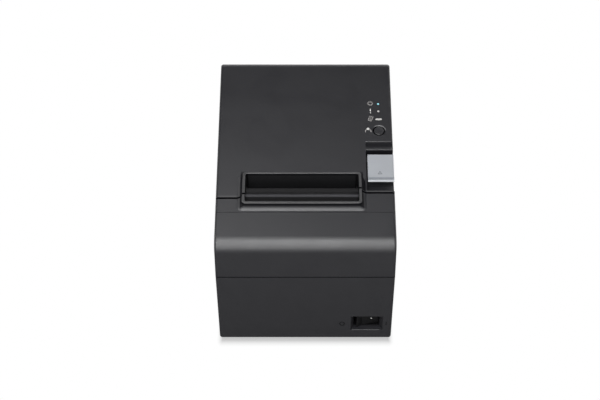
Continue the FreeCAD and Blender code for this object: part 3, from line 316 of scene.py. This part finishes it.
class Paint:
    """A material or the world, with nodes added in the order they are needed."""

    def __init__(self, owner):
        owner.use_nodes = True
        self.owner = owner
        self.tree = owner.node_tree

    def fill(self, node, inputs):
        for name, value in inputs.items():
            if isinstance(value, Value):
                self.tree.links.new(value.socket, node.inputs[name])
            else:
                node.inputs[name].default_value = value

    def node(self, kind, settings=None, inputs=None, output=0):
        made = self.tree.nodes.new("ShaderNode" + kind)
        for name, setting in (settings or {}).items():
            setattr(made, name, setting)
        self.fill(made, inputs or {})
        return Value(self, made.outputs[output])

    def maths(self, operation, *values):
        return self.node("Math", {"operation": operation}, dict(enumerate(values)))

    def greatest(self, *values):
        largest = values[0]
        for value in values[1:]:
            largest = self.maths("MAXIMUM", largest, value)
        return largest

    def above(self, value, limit):
        """1 where the value is above the limit, else 0."""
        return self.maths("GREATER_THAN", value, limit)

    def below(self, value, limit):
        """1 where the value is below the limit, else 0."""
        return self.maths("LESS_THAN", value, limit)

    def band(self, value, low, high):
        """1 where the value is between low and high, else 0."""
        return self.above(value, low) * self.below(value, high)

    def limited(self, value, low, high):
        """From 0 to 1 as the value goes from low to high, and held beyond."""
        return self.node("MapRange", inputs={"Value": value, "From Min": low, "From Max": high})

    def fading(self, value, low, high):
        """From 1 to 0 as the value goes from low to high, and held beyond."""
        return 1.0 - self.limited(value, low, high)

    def mixed(self, share, first, second):
        return self.node("Mix", {"data_type": "RGBA"}, {0: share, 6: first, 7: second}, output=2)

    def place(self, stretch=(1, 1, 1)):
        coordinates = self.node("TexCoord", output="Object")
        return self.node("Mapping", inputs={"Vector": coordinates, "Scale": stretch})

    def axes(self, vector):
        return [self.node("SeparateXYZ", inputs={0: vector}, output=axis) for axis in range(3)]

    def noise(self, scale, detail=2.0, stretch=(1, 1, 1), distortion=0.0):
        return self.node(
            "TexNoise", inputs={
                "Vector": self.place(stretch), "Scale": scale, "Detail": detail, "Distortion": distortion})

    def bump(self, height, depth, strength=1.0):
        return self.node("Bump", inputs={"Height": height, "Distance": depth, "Strength": strength})

    def to_camera(self):
        """1 for what the camera sees directly, else 0."""
        return self.node("LightPath", output="Is Camera Ray")

    def to_mirror(self):
        """1 for what shows in a shiny or through a clear surface, else 0."""
        mirrored = self.node("LightPath", output="Is Glossy Ray")
        seen_through = self.node("LightPath", output="Is Transmission Ray")
        return self.greatest(mirrored, seen_through)

    def surface(self, inputs):
        self.fill(self.tree.nodes["Principled BSDF"], inputs)

    def overlay(self, share, shader):
        """Let another shader take a share of the surface."""
        plain = Value(self, self.tree.nodes["Principled BSDF"].outputs[0])
        both = self.node("MixShader", inputs={0: share, 1: plain, 2: shader})
        self.fill(self.tree.nodes["Material Output"], {"Surface": both})


def new_paint(name):
    return Paint(bpy.data.materials.new(name))


def shade(colour, factor):
    return (*(channel * factor for channel in colour), 1.0)


def flow_marks(paint, colour, scale):
    """Colour of moulded plastic, with faint marks where it flowed."""
    flow = paint.noise(scale, 4, (1, 1, 2.5), 0.6)
    return paint.mixed(flow, shade(colour, 0.9), shade(colour, 1.1))


def smeared(paint, roughness):
    """Roughness with the smears that hands leave."""
    smear = paint.limited(paint.noise(smear_scale, 5, distortion=1.2), 0.45, 0.75)
    return roughness - 0.05 * smear


def patchy_highlight(paint, mask):
    """Strength of a painted highlight in a masked place, a little uneven."""
    return mask * (0.7 + 0.5 * paint.noise(highlight_patch_scale, 3))


def spark_grain(paint, colour, roughness, specular, grain):
    """Plastic surface with the fine grain of a spark-eroded mould."""
    spark = paint.noise(spark_scale, 3)
    paint.surface({
        "Base Color": colour,
        "Roughness": roughness + 0.06 * (spark - 0.5),
        "Specular IOR Level": specular,
        "Normal": paint.bump(spark, grain, 0.5)})


def plastic(name, colour, roughness, grain=coarse_grain, specular=0.5, recolour=None):
    """Moulded plastic, with painted light laid on where a recolouring is given."""
    paint = new_paint(name)
    moulded = flow_marks(paint, colour, flow_scale)
    final_colour = recolour(paint, moulded) if recolour else moulded
    spark_grain(paint, final_colour, smeared(paint, roughness), specular, grain)
    return paint.owner


def over_the_top(paint):
    """Where a point lies by the sloping top: across, its height, along the run, and its rise above."""
    across, deep, high = paint.axes(paint.place())
    run = (deep - top_start[0]) * math.cos(top_slope) + (high - top_start[1]) * math.sin(top_slope)
    rise = (high - top_start[1]) * math.cos(top_slope) - (deep - top_start[0]) * math.sin(top_slope)
    return SimpleNamespace(across=across, high=high, run=run, rise=rise)


def lever_highlight_and_shade(paint, moulded):
    """Colour of the lever: a painted highlight on its lip, and painted shade in the hollow behind it."""
    run = over_the_top(paint).run
    with_hollow_shade = paint.mixed(paint.band(run, *lever_hollow_s), moulded, lever_hollow_shade)
    return paint.mixed(paint.below(run, lever_lip_s), with_hollow_shade, lever_lip_highlight)


def inner_plastic(name, colour, roughness, specular):
    """Dark plastic inside, with a painted highlight on the ridge in the slot that the paper runs over."""
    paint = new_paint(name)
    spot = over_the_top(paint)
    on_ridge = paint.band(spot.run, *ridge_s) * paint.above(spot.rise, ridge_rise)
    moulded = flow_marks(paint, colour, inner_flow_scale)
    final_colour = paint.mixed(patchy_highlight(paint, on_ridge), moulded, shade(colour, ridge_highlight_lightening))
    spark_grain(paint, final_colour, roughness, specular, coarse_grain)
    return paint.owner


def rim_highlight_and_shade(paint, spot):
    """Where the slot's rim and its skirt get a painted highlight, and the painted shade at their foot."""
    under_rim = rim_height - (spot.run - rim_s[0]) * rim_fall - spot.rise
    left, right = rim_x[0] - spot.across, spot.across - rim_x[1]
    # Painted highlight on the rim's top and on the skirt's slope left of it
    on_rim = paint.below(spot.run, rim_s[1]) * paint.fading(under_rim, *rim_top)
    on_slope = paint.band(left, *slope_reach) * paint.band(spot.run, *slope_s)
    on_slope = on_slope * paint.above(spot.rise, close_to_top)
    beyond = paint.greatest(rim_s[0] - spot.run, spot.run - rim_s[1])
    # Painted shade at the foot of the rim
    foot = paint.limited(under_rim, *foot_depth) * paint.fading(beyond, *foot_reach)
    foot = foot * paint.fading(paint.greatest(left, right), *side_foot_reach)
    # Painted shadow in a wedge right of the rim, as cast by it
    narrowed = right + wedge_narrowing * paint.limited(spot.run, *wedge_narrows_s)
    wedge = paint.limited(right, *wedge_foot) * paint.fading(narrowed, *wedge_reach)
    wedge = wedge * paint.limited(spot.run, *wedge_start_s) * paint.below(spot.run, rim_s[1])
    return paint.greatest(on_rim, on_slope), paint.greatest(foot_shade_strength * foot, wedge_shade_strength * wedge)


def seam_highlight_and_shade(paint, spot):
    """The painted highlight on the edge behind the seam of the roll cover, and the painted shade in that seam
    and in the belt seam.
    """
    seam = seam_steps[0][1]
    for (edge, here), (_, beyond) in zip(seam_steps, seam_steps[1:]):
        seam = seam + (beyond - here) * paint.above(spot.across, edge)
    behind = spot.run - seam
    beside_rim = paint.greatest(rim_x[0] - spot.across, spot.across - rim_x[1])
    # Painted highlight on the edge behind the seam
    on_edge = paint.band(behind, *seam_edge) * paint.above(spot.rise, -close_to_top)
    on_edge = on_edge * paint.above(beside_rim, slope_reach[1])
    # Painted shade in the seam and in the belt seam
    in_seam = paint.fading(paint.maths("ABSOLUTE", behind), *seam_gap) * paint.above(spot.high, belt_z)
    at_belt = paint.fading(paint.maths("ABSOLUTE", spot.high - belt_z), *belt_gap)
    return on_edge, paint.greatest(seam_shade_strength * in_seam, belt_shade_strength * at_belt)


def button_highlight_and_shade(paint, spot):
    """The painted highlight behind the feed button, and the painted shade in the gap round it."""
    aside, beyond = spot.across - button_spot[0], spot.run - button_spot[1]
    away = (aside ** 2 + beyond ** 2) ** 0.5
    # Painted highlight on the far side behind the button, and painted shade in the gap round it
    button_highlight = paint.band(away, *button_shine) * paint.limited(beyond + shine_turn * aside, *shine_start)
    return button_highlight, button_gap_shade_strength * paint.band(away, *button_gap)


def recess_painted_shade(paint, spot):
    """The painted shade in the lever's recess."""
    inside = paint.above(spot.across, recess_x) * paint.band(spot.run, *recess_s)
    inside = inside * paint.fading(spot.rise, *recess_rise) * paint.above(spot.rise, recess_floor)
    return recess_shade_strength * inside


def case_plastic(name, colour, roughness, specular):
    """Case plastic with painted highlights on the rim and at edges, and painted shade in the seams and
    hollows.
    """
    paint = new_paint(name)
    spot = over_the_top(paint)
    rim_highlight, shade_at_rim = rim_highlight_and_shade(paint, spot)
    edge_highlight, shade_in_seams = seam_highlight_and_shade(paint, spot)
    button_highlight, shade_round_button = button_highlight_and_shade(paint, spot)
    # Painted highlight along the rear edge of the top
    rear_edge = paint.limited(spot.run, *rear_edge_s) * paint.limited(spot.rise, *rear_edge_rise)
    moulded = flow_marks(paint, colour, flow_scale)
    # Painted highlights: lighter greys on the rim, the skirt's slope, the seam's edge, behind the button and
    # on the rear edge
    final_colour = paint.mixed(patchy_highlight(paint, paint.greatest(rim_highlight, edge_highlight)), moulded, soft_highlight_grey)
    final_colour = paint.mixed(paint.greatest(button_highlight, rear_edge), final_colour, bright_highlight_grey)
    spark_grain(paint, final_colour, smeared(paint, roughness), specular, coarse_grain)
    # Painted shade: a dark matt coat over the seams, the rim's foot and wedge, the button's gap and the
    # lever's recess
    painted_shade = paint.greatest(shade_at_rim, shade_in_seams, shade_round_button, recess_painted_shade(paint, spot))
    paint.overlay(painted_shade, paint.node("BsdfDiffuse", inputs={"Color": shade(colour, painted_shade_darkness)}))
    return paint.owner


def rubber(name, colour):
    """Matt rubber with pores and worn places."""
    paint = new_paint(name)
    pores = paint.noise(1500, 4)
    recolour = paint.noise(90, 3)
    paint.surface({
        "Base Color": paint.mixed(recolour, shade(colour, 0.8), shade(colour, 1.25)),
        "Roughness": 0.72 + 0.15 * recolour,
        "Specular IOR Level": 0.3,
        "Normal": paint.bump(pores, 0.04 * MM, 0.5)})
    return paint.owner


def metal(name, colour, roughness, stretch=(1, 1, 1)):
    """Bare metal with drawn or rolled lines along one axis and a few dull patches."""
    paint = new_paint(name)
    lines = paint.noise(900, 3, stretch)
    patches = paint.noise(45, 4, distortion=0.8)
    paint.surface({
        "Base Color": paint.mixed(patches, shade(colour, 0.85), shade(colour, 1.05)),
        "Metallic": 1.0,
        "Roughness": roughness + 0.16 * (lines - 0.5) + 0.12 * (patches - 0.5),
        "Normal": paint.bump(lines, 0.01 * MM, 0.4)})
    return paint.owner


def circuit_board(name, colour):
    """Green solder mask with copper tracks just visible under it."""
    paint = new_paint(name)
    cells = paint.node("TexVoronoi", {"distance": "MANHATTAN"}, {"Vector": paint.place(), "Scale": 260.0})
    tracks = paint.limited(cells, 0.42, 0.5)
    mask = paint.noise(120, 3)
    paint.surface({
        "Base Color": paint.mixed(tracks, shade(colour, 0.8), shade(colour, 1.5)),
        "Roughness": 0.35 + 0.15 * mask,
        "Normal": paint.bump(tracks, 0.03 * MM, 0.4)})
    return paint.owner


def glowing_lens(name, colour, glow, strength):
    """Frosted lens with a light behind it."""
    paint = new_paint(name)
    frost = paint.noise(1800, 2)
    paint.surface({
        "Base Color": paint.mixed(frost, shade(colour, 0.92), shade(colour, 1.0)),
        "Roughness": 0.22 + 0.12 * frost,
        "Emission Color": paint.mixed(frost, shade(glow, 0.9), shade(glow, 1.0)),
        "Emission Strength": strength})
    return paint.owner


def finishes():
    """One material for each finish that the record names, and those of the marks and contacts."""
    return {
        "case_black": case_plastic("case_black", (0.0082, 0.0082, 0.0112), 0.5, 1.0),
        "inner_black": inner_plastic("inner_black", (0.006, 0.006, 0.0068), 0.6, 0.3),
        "rocker_black": plastic("rocker_black", (0.006, 0.006, 0.0065), 0.4, fine_grain, 0.4),
        # The lever gets a painted highlight on its lip and painted shade in the hollow behind it
        "lever_grey": plastic("lever_grey", (0.345, 0.36, 0.385), 0.48, lever_grain, 0.4, lever_highlight_and_shade),
        "button_black": plastic("button_black", (0.0082, 0.0082, 0.0112), 0.5, fine_grain, 1.0),
        "power_light": glowing_lens("power_light", (0.2, 0.45, 0.5), (0.27, 0.75, 0.83), 0.4),
        "lens_white": glowing_lens("lens_white", (0.5, 0.495, 0.48), (0.75, 0.74, 0.72), 0.1),
        "plate_steel": metal("plate_steel", (0.56, 0.57, 0.58), 0.38, (1, 14, 1)),
        "foot_rubber": rubber("foot_rubber", (0.02, 0.02, 0.021)),
        "screw_steel": metal("screw_steel", (0.55, 0.55, 0.56), 0.3),
        "ceramic": plastic("ceramic", (0.62, 0.60, 0.55), 0.3, fine_grain),
        "heat_sink": metal("heat_sink", (0.72, 0.73, 0.74), 0.4, (14, 1, 1)),
        "pin_steel": metal("pin_steel", (0.62, 0.62, 0.63), 0.22, (14, 1, 1)),
        "spring_steel": metal("spring_steel", (0.48, 0.48, 0.49), 0.3, (1, 1, 12)),
        "gear_white": plastic("gear_white", (0.74, 0.73, 0.69), 0.42),
        "pinion_brass": metal("pinion_brass", (0.75, 0.56, 0.24), 0.28),
        "motor_can": metal("motor_can", (0.5, 0.5, 0.51), 0.34, (1, 10, 1)),
        "platen_rubber": rubber("platen_rubber", (0.035, 0.035, 0.037)),
        "bush_white": plastic("bush_white", (0.72, 0.71, 0.68), 0.45),
        "blade_steel": metal("blade_steel", (0.66, 0.67, 0.69), 0.22, (16, 1, 1)),
        "knob_blue": plastic("knob_blue", (0.05, 0.16, 0.42), 0.42),
        "board_green": circuit_board("board_green", (0.012, 0.09, 0.035)),
        "chip_black": plastic("chip_black", (0.012, 0.012, 0.013), 0.5, fine_grain),
        "chip_white": plastic("chip_white", (0.7, 0.7, 0.68), 0.4, fine_grain),
        "ribbon_white": plastic("ribbon_white", (0.68, 0.67, 0.63), 0.5, fine_grain),
        "socket_metal": metal("socket_metal", (0.63, 0.63, 0.64), 0.32, (1, 1, 12)),
        "socket_black": plastic("socket_black", (0.014, 0.014, 0.015), 0.5),
        "mark_grey": plastic("mark_grey", (0.26, 0.25, 0.245), 0.6, fine_grain),
        "mark_white": plastic("mark_white", (0.82, 0.82, 0.80), 0.5, fine_grain),
        "mark_pale": plastic("mark_pale", (0.55, 0.545, 0.53), 0.6, fine_grain),
        # Darker grey of the lever's triangle, painted shade of its raised edges
        "mark_painted_shade": plastic("mark_painted_shade", (0.2, 0.21, 0.225), 0.6, fine_grain),
        # Black laid in the hollows of the switch marks, painted shade
        "groove_painted_shade": plastic("groove_painted_shade", (0.003, 0.003, 0.003), 0.8, fine_grain, 0.1),
        "contact_gold": metal("contact_gold", (0.83, 0.62, 0.25), 0.25, (1, 12, 1))}


finish_of = finishes()
for subpart in frame["record"]["subparts"]:
    shell = frame["nodes"][subpart["node"]]
    shell.data.materials.clear()
    shell.data.materials.append(finish_of[subpart["material_slot"]])


def open_piece():
    """Open the new primitive for shaping, with all its faces selected."""
    bpy.context.object.select_set(True)
    bpy.ops.object.mode_set(mode="EDIT")
    bpy.ops.mesh.select_mode(type="FACE")
    bpy.ops.mesh.select_all(action="SELECT")


def start_disc(corners, radius):
    """A flat disc about the origin, open for shaping."""
    bpy.ops.object.select_all(action="DESELECT")
    bpy.ops.mesh.primitive_circle_add(vertices=corners, radius=radius, fill_type="NGON")
    open_piece()


def start_dot(radius, inset):
    """A flat disc with a rim of faces round its middle."""
    start_disc(dot_corners, radius)
    bpy.ops.mesh.inset(thickness=inset)


def start_ring(corners, radius, stroke):
    start_disc(corners, radius)
    cut_out_middle(stroke)


def start_bar(width, length, rounding):
    """A flat bar about the origin with rounded corners, open for shaping."""
    bpy.ops.object.select_all(action="DESELECT")
    bpy.ops.mesh.primitive_plane_add(size=1)
    open_piece()
    bpy.ops.transform.resize(value=(width, length, 1))
    bpy.ops.mesh.bevel(offset=rounding, segments=4, affect="VERTICES")


def start_block(size):
    """A block about the origin, open for shaping."""
    bpy.ops.object.select_all(action="DESELECT")
    bpy.ops.mesh.primitive_cube_add(size=1)
    open_piece()
    bpy.ops.transform.resize(value=size)


def pick_faces(wanted):
    """Select only the wanted faces of the open piece; its points and edges all stay selected."""
    bpy.ops.object.mode_set(mode="OBJECT")
    for face in bpy.context.object.data.polygons:
        face.select = wanted(face.center, face.normal)
    bpy.ops.object.mode_set(mode="EDIT")


def faces_rear(middle, normal):
    return normal.y > square_to_axis


def remove_faces(unwanted):
    pick_faces(unwanted)
    bpy.ops.mesh.delete(type="FACE")


def cut_out_middle(stroke):
    bpy.ops.mesh.inset(thickness=stroke)
    bpy.ops.mesh.delete(type="FACE")


def set_piece(name, place, body, finish, thickness=0.0, rounding=edge_rounding):
    """Thicken the open piece if it is flat, round its edges, put it in place and fix it to its body."""
    bpy.ops.object.mode_set(mode="OBJECT")
    piece = bpy.context.object
    piece.name = name
    if thickness:
        thicken = piece.modifiers.new("thicken", "SOLIDIFY")
        thicken.thickness = thickness
        thicken.offset = 1
        bpy.ops.object.modifier_apply(modifier=thicken.name)
    rounded = piece.modifiers.new("rounded", "BEVEL")
    rounded.width = rounding
    rounded.segments = 2
    bpy.ops.object.modifier_apply(modifier=rounded.name)
    bpy.ops.object.shade_smooth_by_angle(angle=smooth_angle)
    piece.matrix_world = place
    bpy.ops.object.transform_apply(location=True, rotation=True, scale=True)
    piece.data.materials.append(finish_of[finish])
    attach(piece, body)


def on_top(spot, height=0.0):
    """Place on the sloping top at (x, s), sunk by half the print so that it is bedded in."""
    return top_place @ Matrix.Translation((*spot, height - print_thickness / 2))


def print_mark(name, place, finish):
    set_piece(name, place, "cover", finish, bedded_thickness)


def print_power_mark():
    """Ring that is open at the top, with a bar in the opening."""
    start_ring(ring_corners, *power_ring)
    remove_faces(lambda middle, normal: middle.y > 0 and abs(middle.x) < power_ring_gap)
    print_mark("power_ring", on_top(power_mark), "mark_grey")
    start_bar(*power_bar)
    bar_spot = (power_mark[0], power_mark[1] + power_bar_rise)
    print_mark("power_bar", on_top(bar_spot), "mark_grey")


def print_warning_mark():
    """Bar with a dot below it."""
    start_bar(*warning_bar)
    print_mark("warning_bar", on_top(warning_bar_spot), "mark_pale")
    start_dot(*warning_dot)
    print_mark("warning_dot", on_top(warning_dot_spot), "mark_pale")


def print_paper_mark():
    """Outline of a sheet, turned a little, with three lines on it."""
    place = on_top(paper_mark) @ Matrix.Rotation(paper_turn, 4, "Z")
    start_bar(*paper_sheet)
    cut_out_middle(paper_stroke)
    print_mark("paper_sheet", place, "mark_grey")
    for row in (-1, 0, 1):
        start_bar(*paper_line)
        line_place = place @ Matrix.Translation((0, row * paper_line_pitch, 0))
        print_mark("paper_line_%d" % (row + 2), line_place, "mark_grey")


def print_feed_mark():
    """Bow with a drop on its top."""
    start_ring(ring_corners, *feed_bow)
    remove_faces(lambda middle, normal: middle.y < feed_bow_end)
    print_mark("feed_bow", on_top(feed_bow_spot), "mark_grey")
    start_dot(*feed_drop)
    print_mark("feed_drop", on_top(feed_drop_spot), "mark_white")


def raise_lever_mark():
    """Small raised triangle that shows which way the lever goes, darker than the lever as painted shade."""
    start_ring(3, *lever_triangle)
    place = on_top(lever_mark, lever_top)
    set_piece("lever_triangle", place, "lever", "mark_painted_shade", lever_triangle_height)


def lay_groove_shade(name, spot):
    """Put the open mark into its hollow in the front of the case, black as painted shade."""
    middle = Matrix.Translation((spot[0], case_front + groove_shade_floor, spot[1]))
    upright = Matrix.Rotation(math.pi / 2, 4, "X")
    set_piece(name, middle @ upright, "base", "groove_painted_shade", groove_shade_thickness)


def mark_the_switch():
    """White dot on the rocker, and the off and on marks in the case, laid black in their hollows as painted
    shade.
    """
    rocker = frame["nodes"]["power_rocker"]
    into_rocker = rocker.matrix_world.inverted()
    in_front = into_rocker @ Vector((rocker_dot_spot[0], 2 * case_front, rocker_dot_spot[1]))
    hit, spot, normal, _ = rocker.ray_cast(in_front, into_rocker.to_3x3() @ Vector((0, 1, 0)))
    assert hit
    facing = normal.to_track_quat("Z", "Y").to_matrix().to_4x4()
    place = rocker.matrix_world @ Matrix.Translation(spot) @ facing
    start_dot(*rocker_dot)
    set_piece("rocker_dot", place, "rocker", "mark_white", print_thickness)
    start_ring(ring_corners, *off_ring)
    lay_groove_shade("off_ring", off_ring_spot)
    start_bar(*on_bar)
    lay_groove_shade("on_bar", on_bar_spot)


def fit_bent_contacts(name, mouth, count, root_y, root_rise):
    """A row of bent contacts down towards a socket's mouth, each a block swept whole, inner faces too."""
    for number in range(count):
        start_block(contact_root)
        pick_faces(faces_rear)
        bpy.ops.mesh.extrude_region_move(TRANSFORM_OT_translate={"value": contact_fall})
        bpy.ops.mesh.extrude_region_move(TRANSFORM_OT_translate={"value": contact_tip})
        across = mouth[0] + (number - (count - 1) / 2) * contact_pitch
        place = Matrix.Translation((across, root_y, mouth[1] + root_rise))
        set_piece("%s_contact_%d" % (name, number + 1), place, "base", "contact_gold")


def line_mouth(name, mouth, size):
    """Black plastic lining inside the metal shell of a socket, open to the rear."""
    start_block(size)
    remove_faces(faces_rear)
    place = Matrix.Translation((mouth[0], socket_mouth - lining_wall - size[1] / 2, mouth[1]))
    set_piece(name, place, "base", "socket_black", lining_wall)


def fit_data_tongue():
    """Tongue inside the data socket, with two contacts above it and two below."""
    start_block(tongue_size)
    bpy.ops.mesh.bevel(offset=tongue_rounding, segments=2)
    place = Matrix.Translation((data_mouth[0], tongue_y, data_mouth[1]))
    set_piece("data_tongue", place, "base", "socket_black")
    for side in (-1, 1):
        for level in (-1, 1):
            start_block(tongue_contact)
            across = data_mouth[0] + side * tongue_contact_offset[0]
            high = data_mouth[1] + level * tongue_contact_offset[1]
            place = Matrix.Translation((across, tongue_y, high))
            name = "data_contact_%d_%d" % (side + 2, level + 2)
            set_piece(name, place, "base", "contact_gold")


def fit_power_pins():
    """Pins in a circle inside the power socket."""
    rearward = Matrix.Rotation(-math.pi / 2, 4, "X")
    for number in range(power_pins):
        turn = math.radians(90 + 360 / power_pins * number)
        start_disc(pin_corners, power_pin_radius)
        across = power_mouth[0] + power_pin_circle * math.cos(turn)
        high = power_mouth[1] + power_pin_circle * math.sin(turn)
        place = Matrix.Translation((across, socket_mouth - power_pin_depth, high)) @ rearward
        name = "power_pin_%d" % (number + 1)
        set_piece(name, place, "base", "pin_steel", power_pin_length, power_pin_rounding)


def fit_sockets():
    """What shows inside the mouths at the rear."""
    line_mouth("network_lining", network_mouth, network_lining)
    line_mouth("data_lining", data_mouth, data_lining)
    fit_bent_contacts("network", network_mouth, *network_contacts)
    fit_bent_contacts("drawer", drawer_mouth, *drawer_contacts)
    fit_data_tongue()
    fit_power_pins()


def add_rib(name, size, spot):
    """Straight rib on the underside of the roll cover."""
    start_block(size)
    place = top_place @ Matrix.Translation((*spot, -case_wall - rib_height / 2 + print_thickness))
    set_piece(name, place, "cover", "case_black", rounding=rib_rounding)


def stiffen_cover():
    for number, across in enumerate(long_rib_x):
        size = (rib_width, long_rib_length, rib_height)
        add_rib("long_rib_%d" % (number + 1), size, (across, long_rib_middle))
    for number, along in enumerate(cross_rib_s):
        size = (cross_rib_length, rib_width, rib_height)
        add_rib("cross_rib_%d" % (number + 1), size, (cross_rib_middle, along))


def seal_side_seams():
    """Thin flaps inside the side walls that close the seam in front of the roll cover."""
    for name, size, spot in side_flaps:
        start_block(size)
        bpy.ops.mesh.bevel(offset=flap_rounding, segments=1)
        set_piece(name, top_place @ Matrix.Translation(spot), "base", "inner_black")


print_power_mark()
print_warning_mark()
print_paper_mark()
print_feed_mark()
raise_lever_mark()
mark_the_switch()
fit_sockets()
stiffen_cover()
seal_side_seams()


def floor_paint():
    """Table top: close around the case it shows a painted grey band along with the real shadow, and beyond it
    is plain white.
    """
    paint = new_paint("white_table")
    speck = paint.noise(400, 3)
    paint.surface({
        "Base Color": paint.mixed(speck, shade(table_colour, 0.97), shade(table_colour, 1.03)),
        "Roughness": 0.75 + 0.1 * speck,
        "Specular IOR Level": 0.0})
    across, deep = (
        paint.maths("ABSOLUTE", axis) - reach
        for axis, reach in zip(paint.axes(paint.place())[:2], cad_bounds[1]))
    beside = side_fade * paint.greatest(across + side_inset, 0.0)
    away = (beside ** 2 + paint.greatest(deep, 0.0) ** 2) ** 0.5
    shadow = paint.fading(away, 0.0, shadow_reach) ** shadow_curve
    # Painted shadow: near the case less of the white glow shows, so the table's own grey appears
    near = 1.0 - (1 - contact_glow) * shadow
    mirrored = mirror_white * paint.to_mirror() * paint.limited(away, *mirror_reach)
    glow = paint.node("Emission", inputs={"Color": plain_white, "Strength": 1.0})
    paint.overlay(paint.to_camera() * near + mirrored, glow)
    return paint.owner


def add_table():
    bpy.ops.object.select_all(action="DESELECT")
    bpy.ops.mesh.primitive_plane_add(size=table_size, location=(0, 0, 0))
    table = bpy.context.object
    table.name = "table_top"
    table.data.materials.append(floor_paint())


def add_softbox(name, place, aim, size, power):
    lamp = bpy.data.lights.new(name, "AREA")
    lamp.shape = "RECTANGLE"
    lamp.size, lamp.size_y = size
    lamp.energy = power
    holder = bpy.data.objects.new(name, lamp)
    holder.location = place
    holder.rotation_euler = (Vector(aim) - Vector(place)).to_track_quat("-Z", "Y").to_euler()
    bpy.context.scene.collection.objects.link(holder)


def paint_the_room():
    """A dim room with a pale horizon behind; the camera sees it white, and mirrors see its low part pale."""
    world = bpy.data.worlds.new("studio")
    bpy.context.scene.world = world
    paint = Paint(world)
    depth, height = paint.axes(paint.node("TexCoord", output="Generated"))[1:]
    low = paint.fading(height, *horizon_height)
    horizon = low * paint.limited(depth, *horizon_depth)
    pale = paint.greatest(horizon, paint.to_camera(), mirror_white * paint.to_mirror() * low)
    paint.fill(paint.tree.nodes["Background"], {
        "Color": paint.mixed(pale, room_grey, plain_white), "Strength": 1.0})


def add_camera():
    lens = bpy.data.cameras.new("photo_camera")
    lens.lens = camera_lens
    lens.sensor_width = camera_sensor
    lens.shift_x, lens.shift_y = camera_shift
    camera = bpy.data.objects.new("photo_camera", lens)
    camera.location = camera_place
    camera.rotation_euler = (math.pi / 2 - camera_drop, 0, 0)
    bpy.context.scene.collection.objects.link(camera)
    bpy.context.scene.camera = camera


add_table()
paint_the_room()
for softbox in softboxes:
    add_softbox(*softbox)
add_camera()
bpy.context.scene.view_settings.view_transform = "Standard"
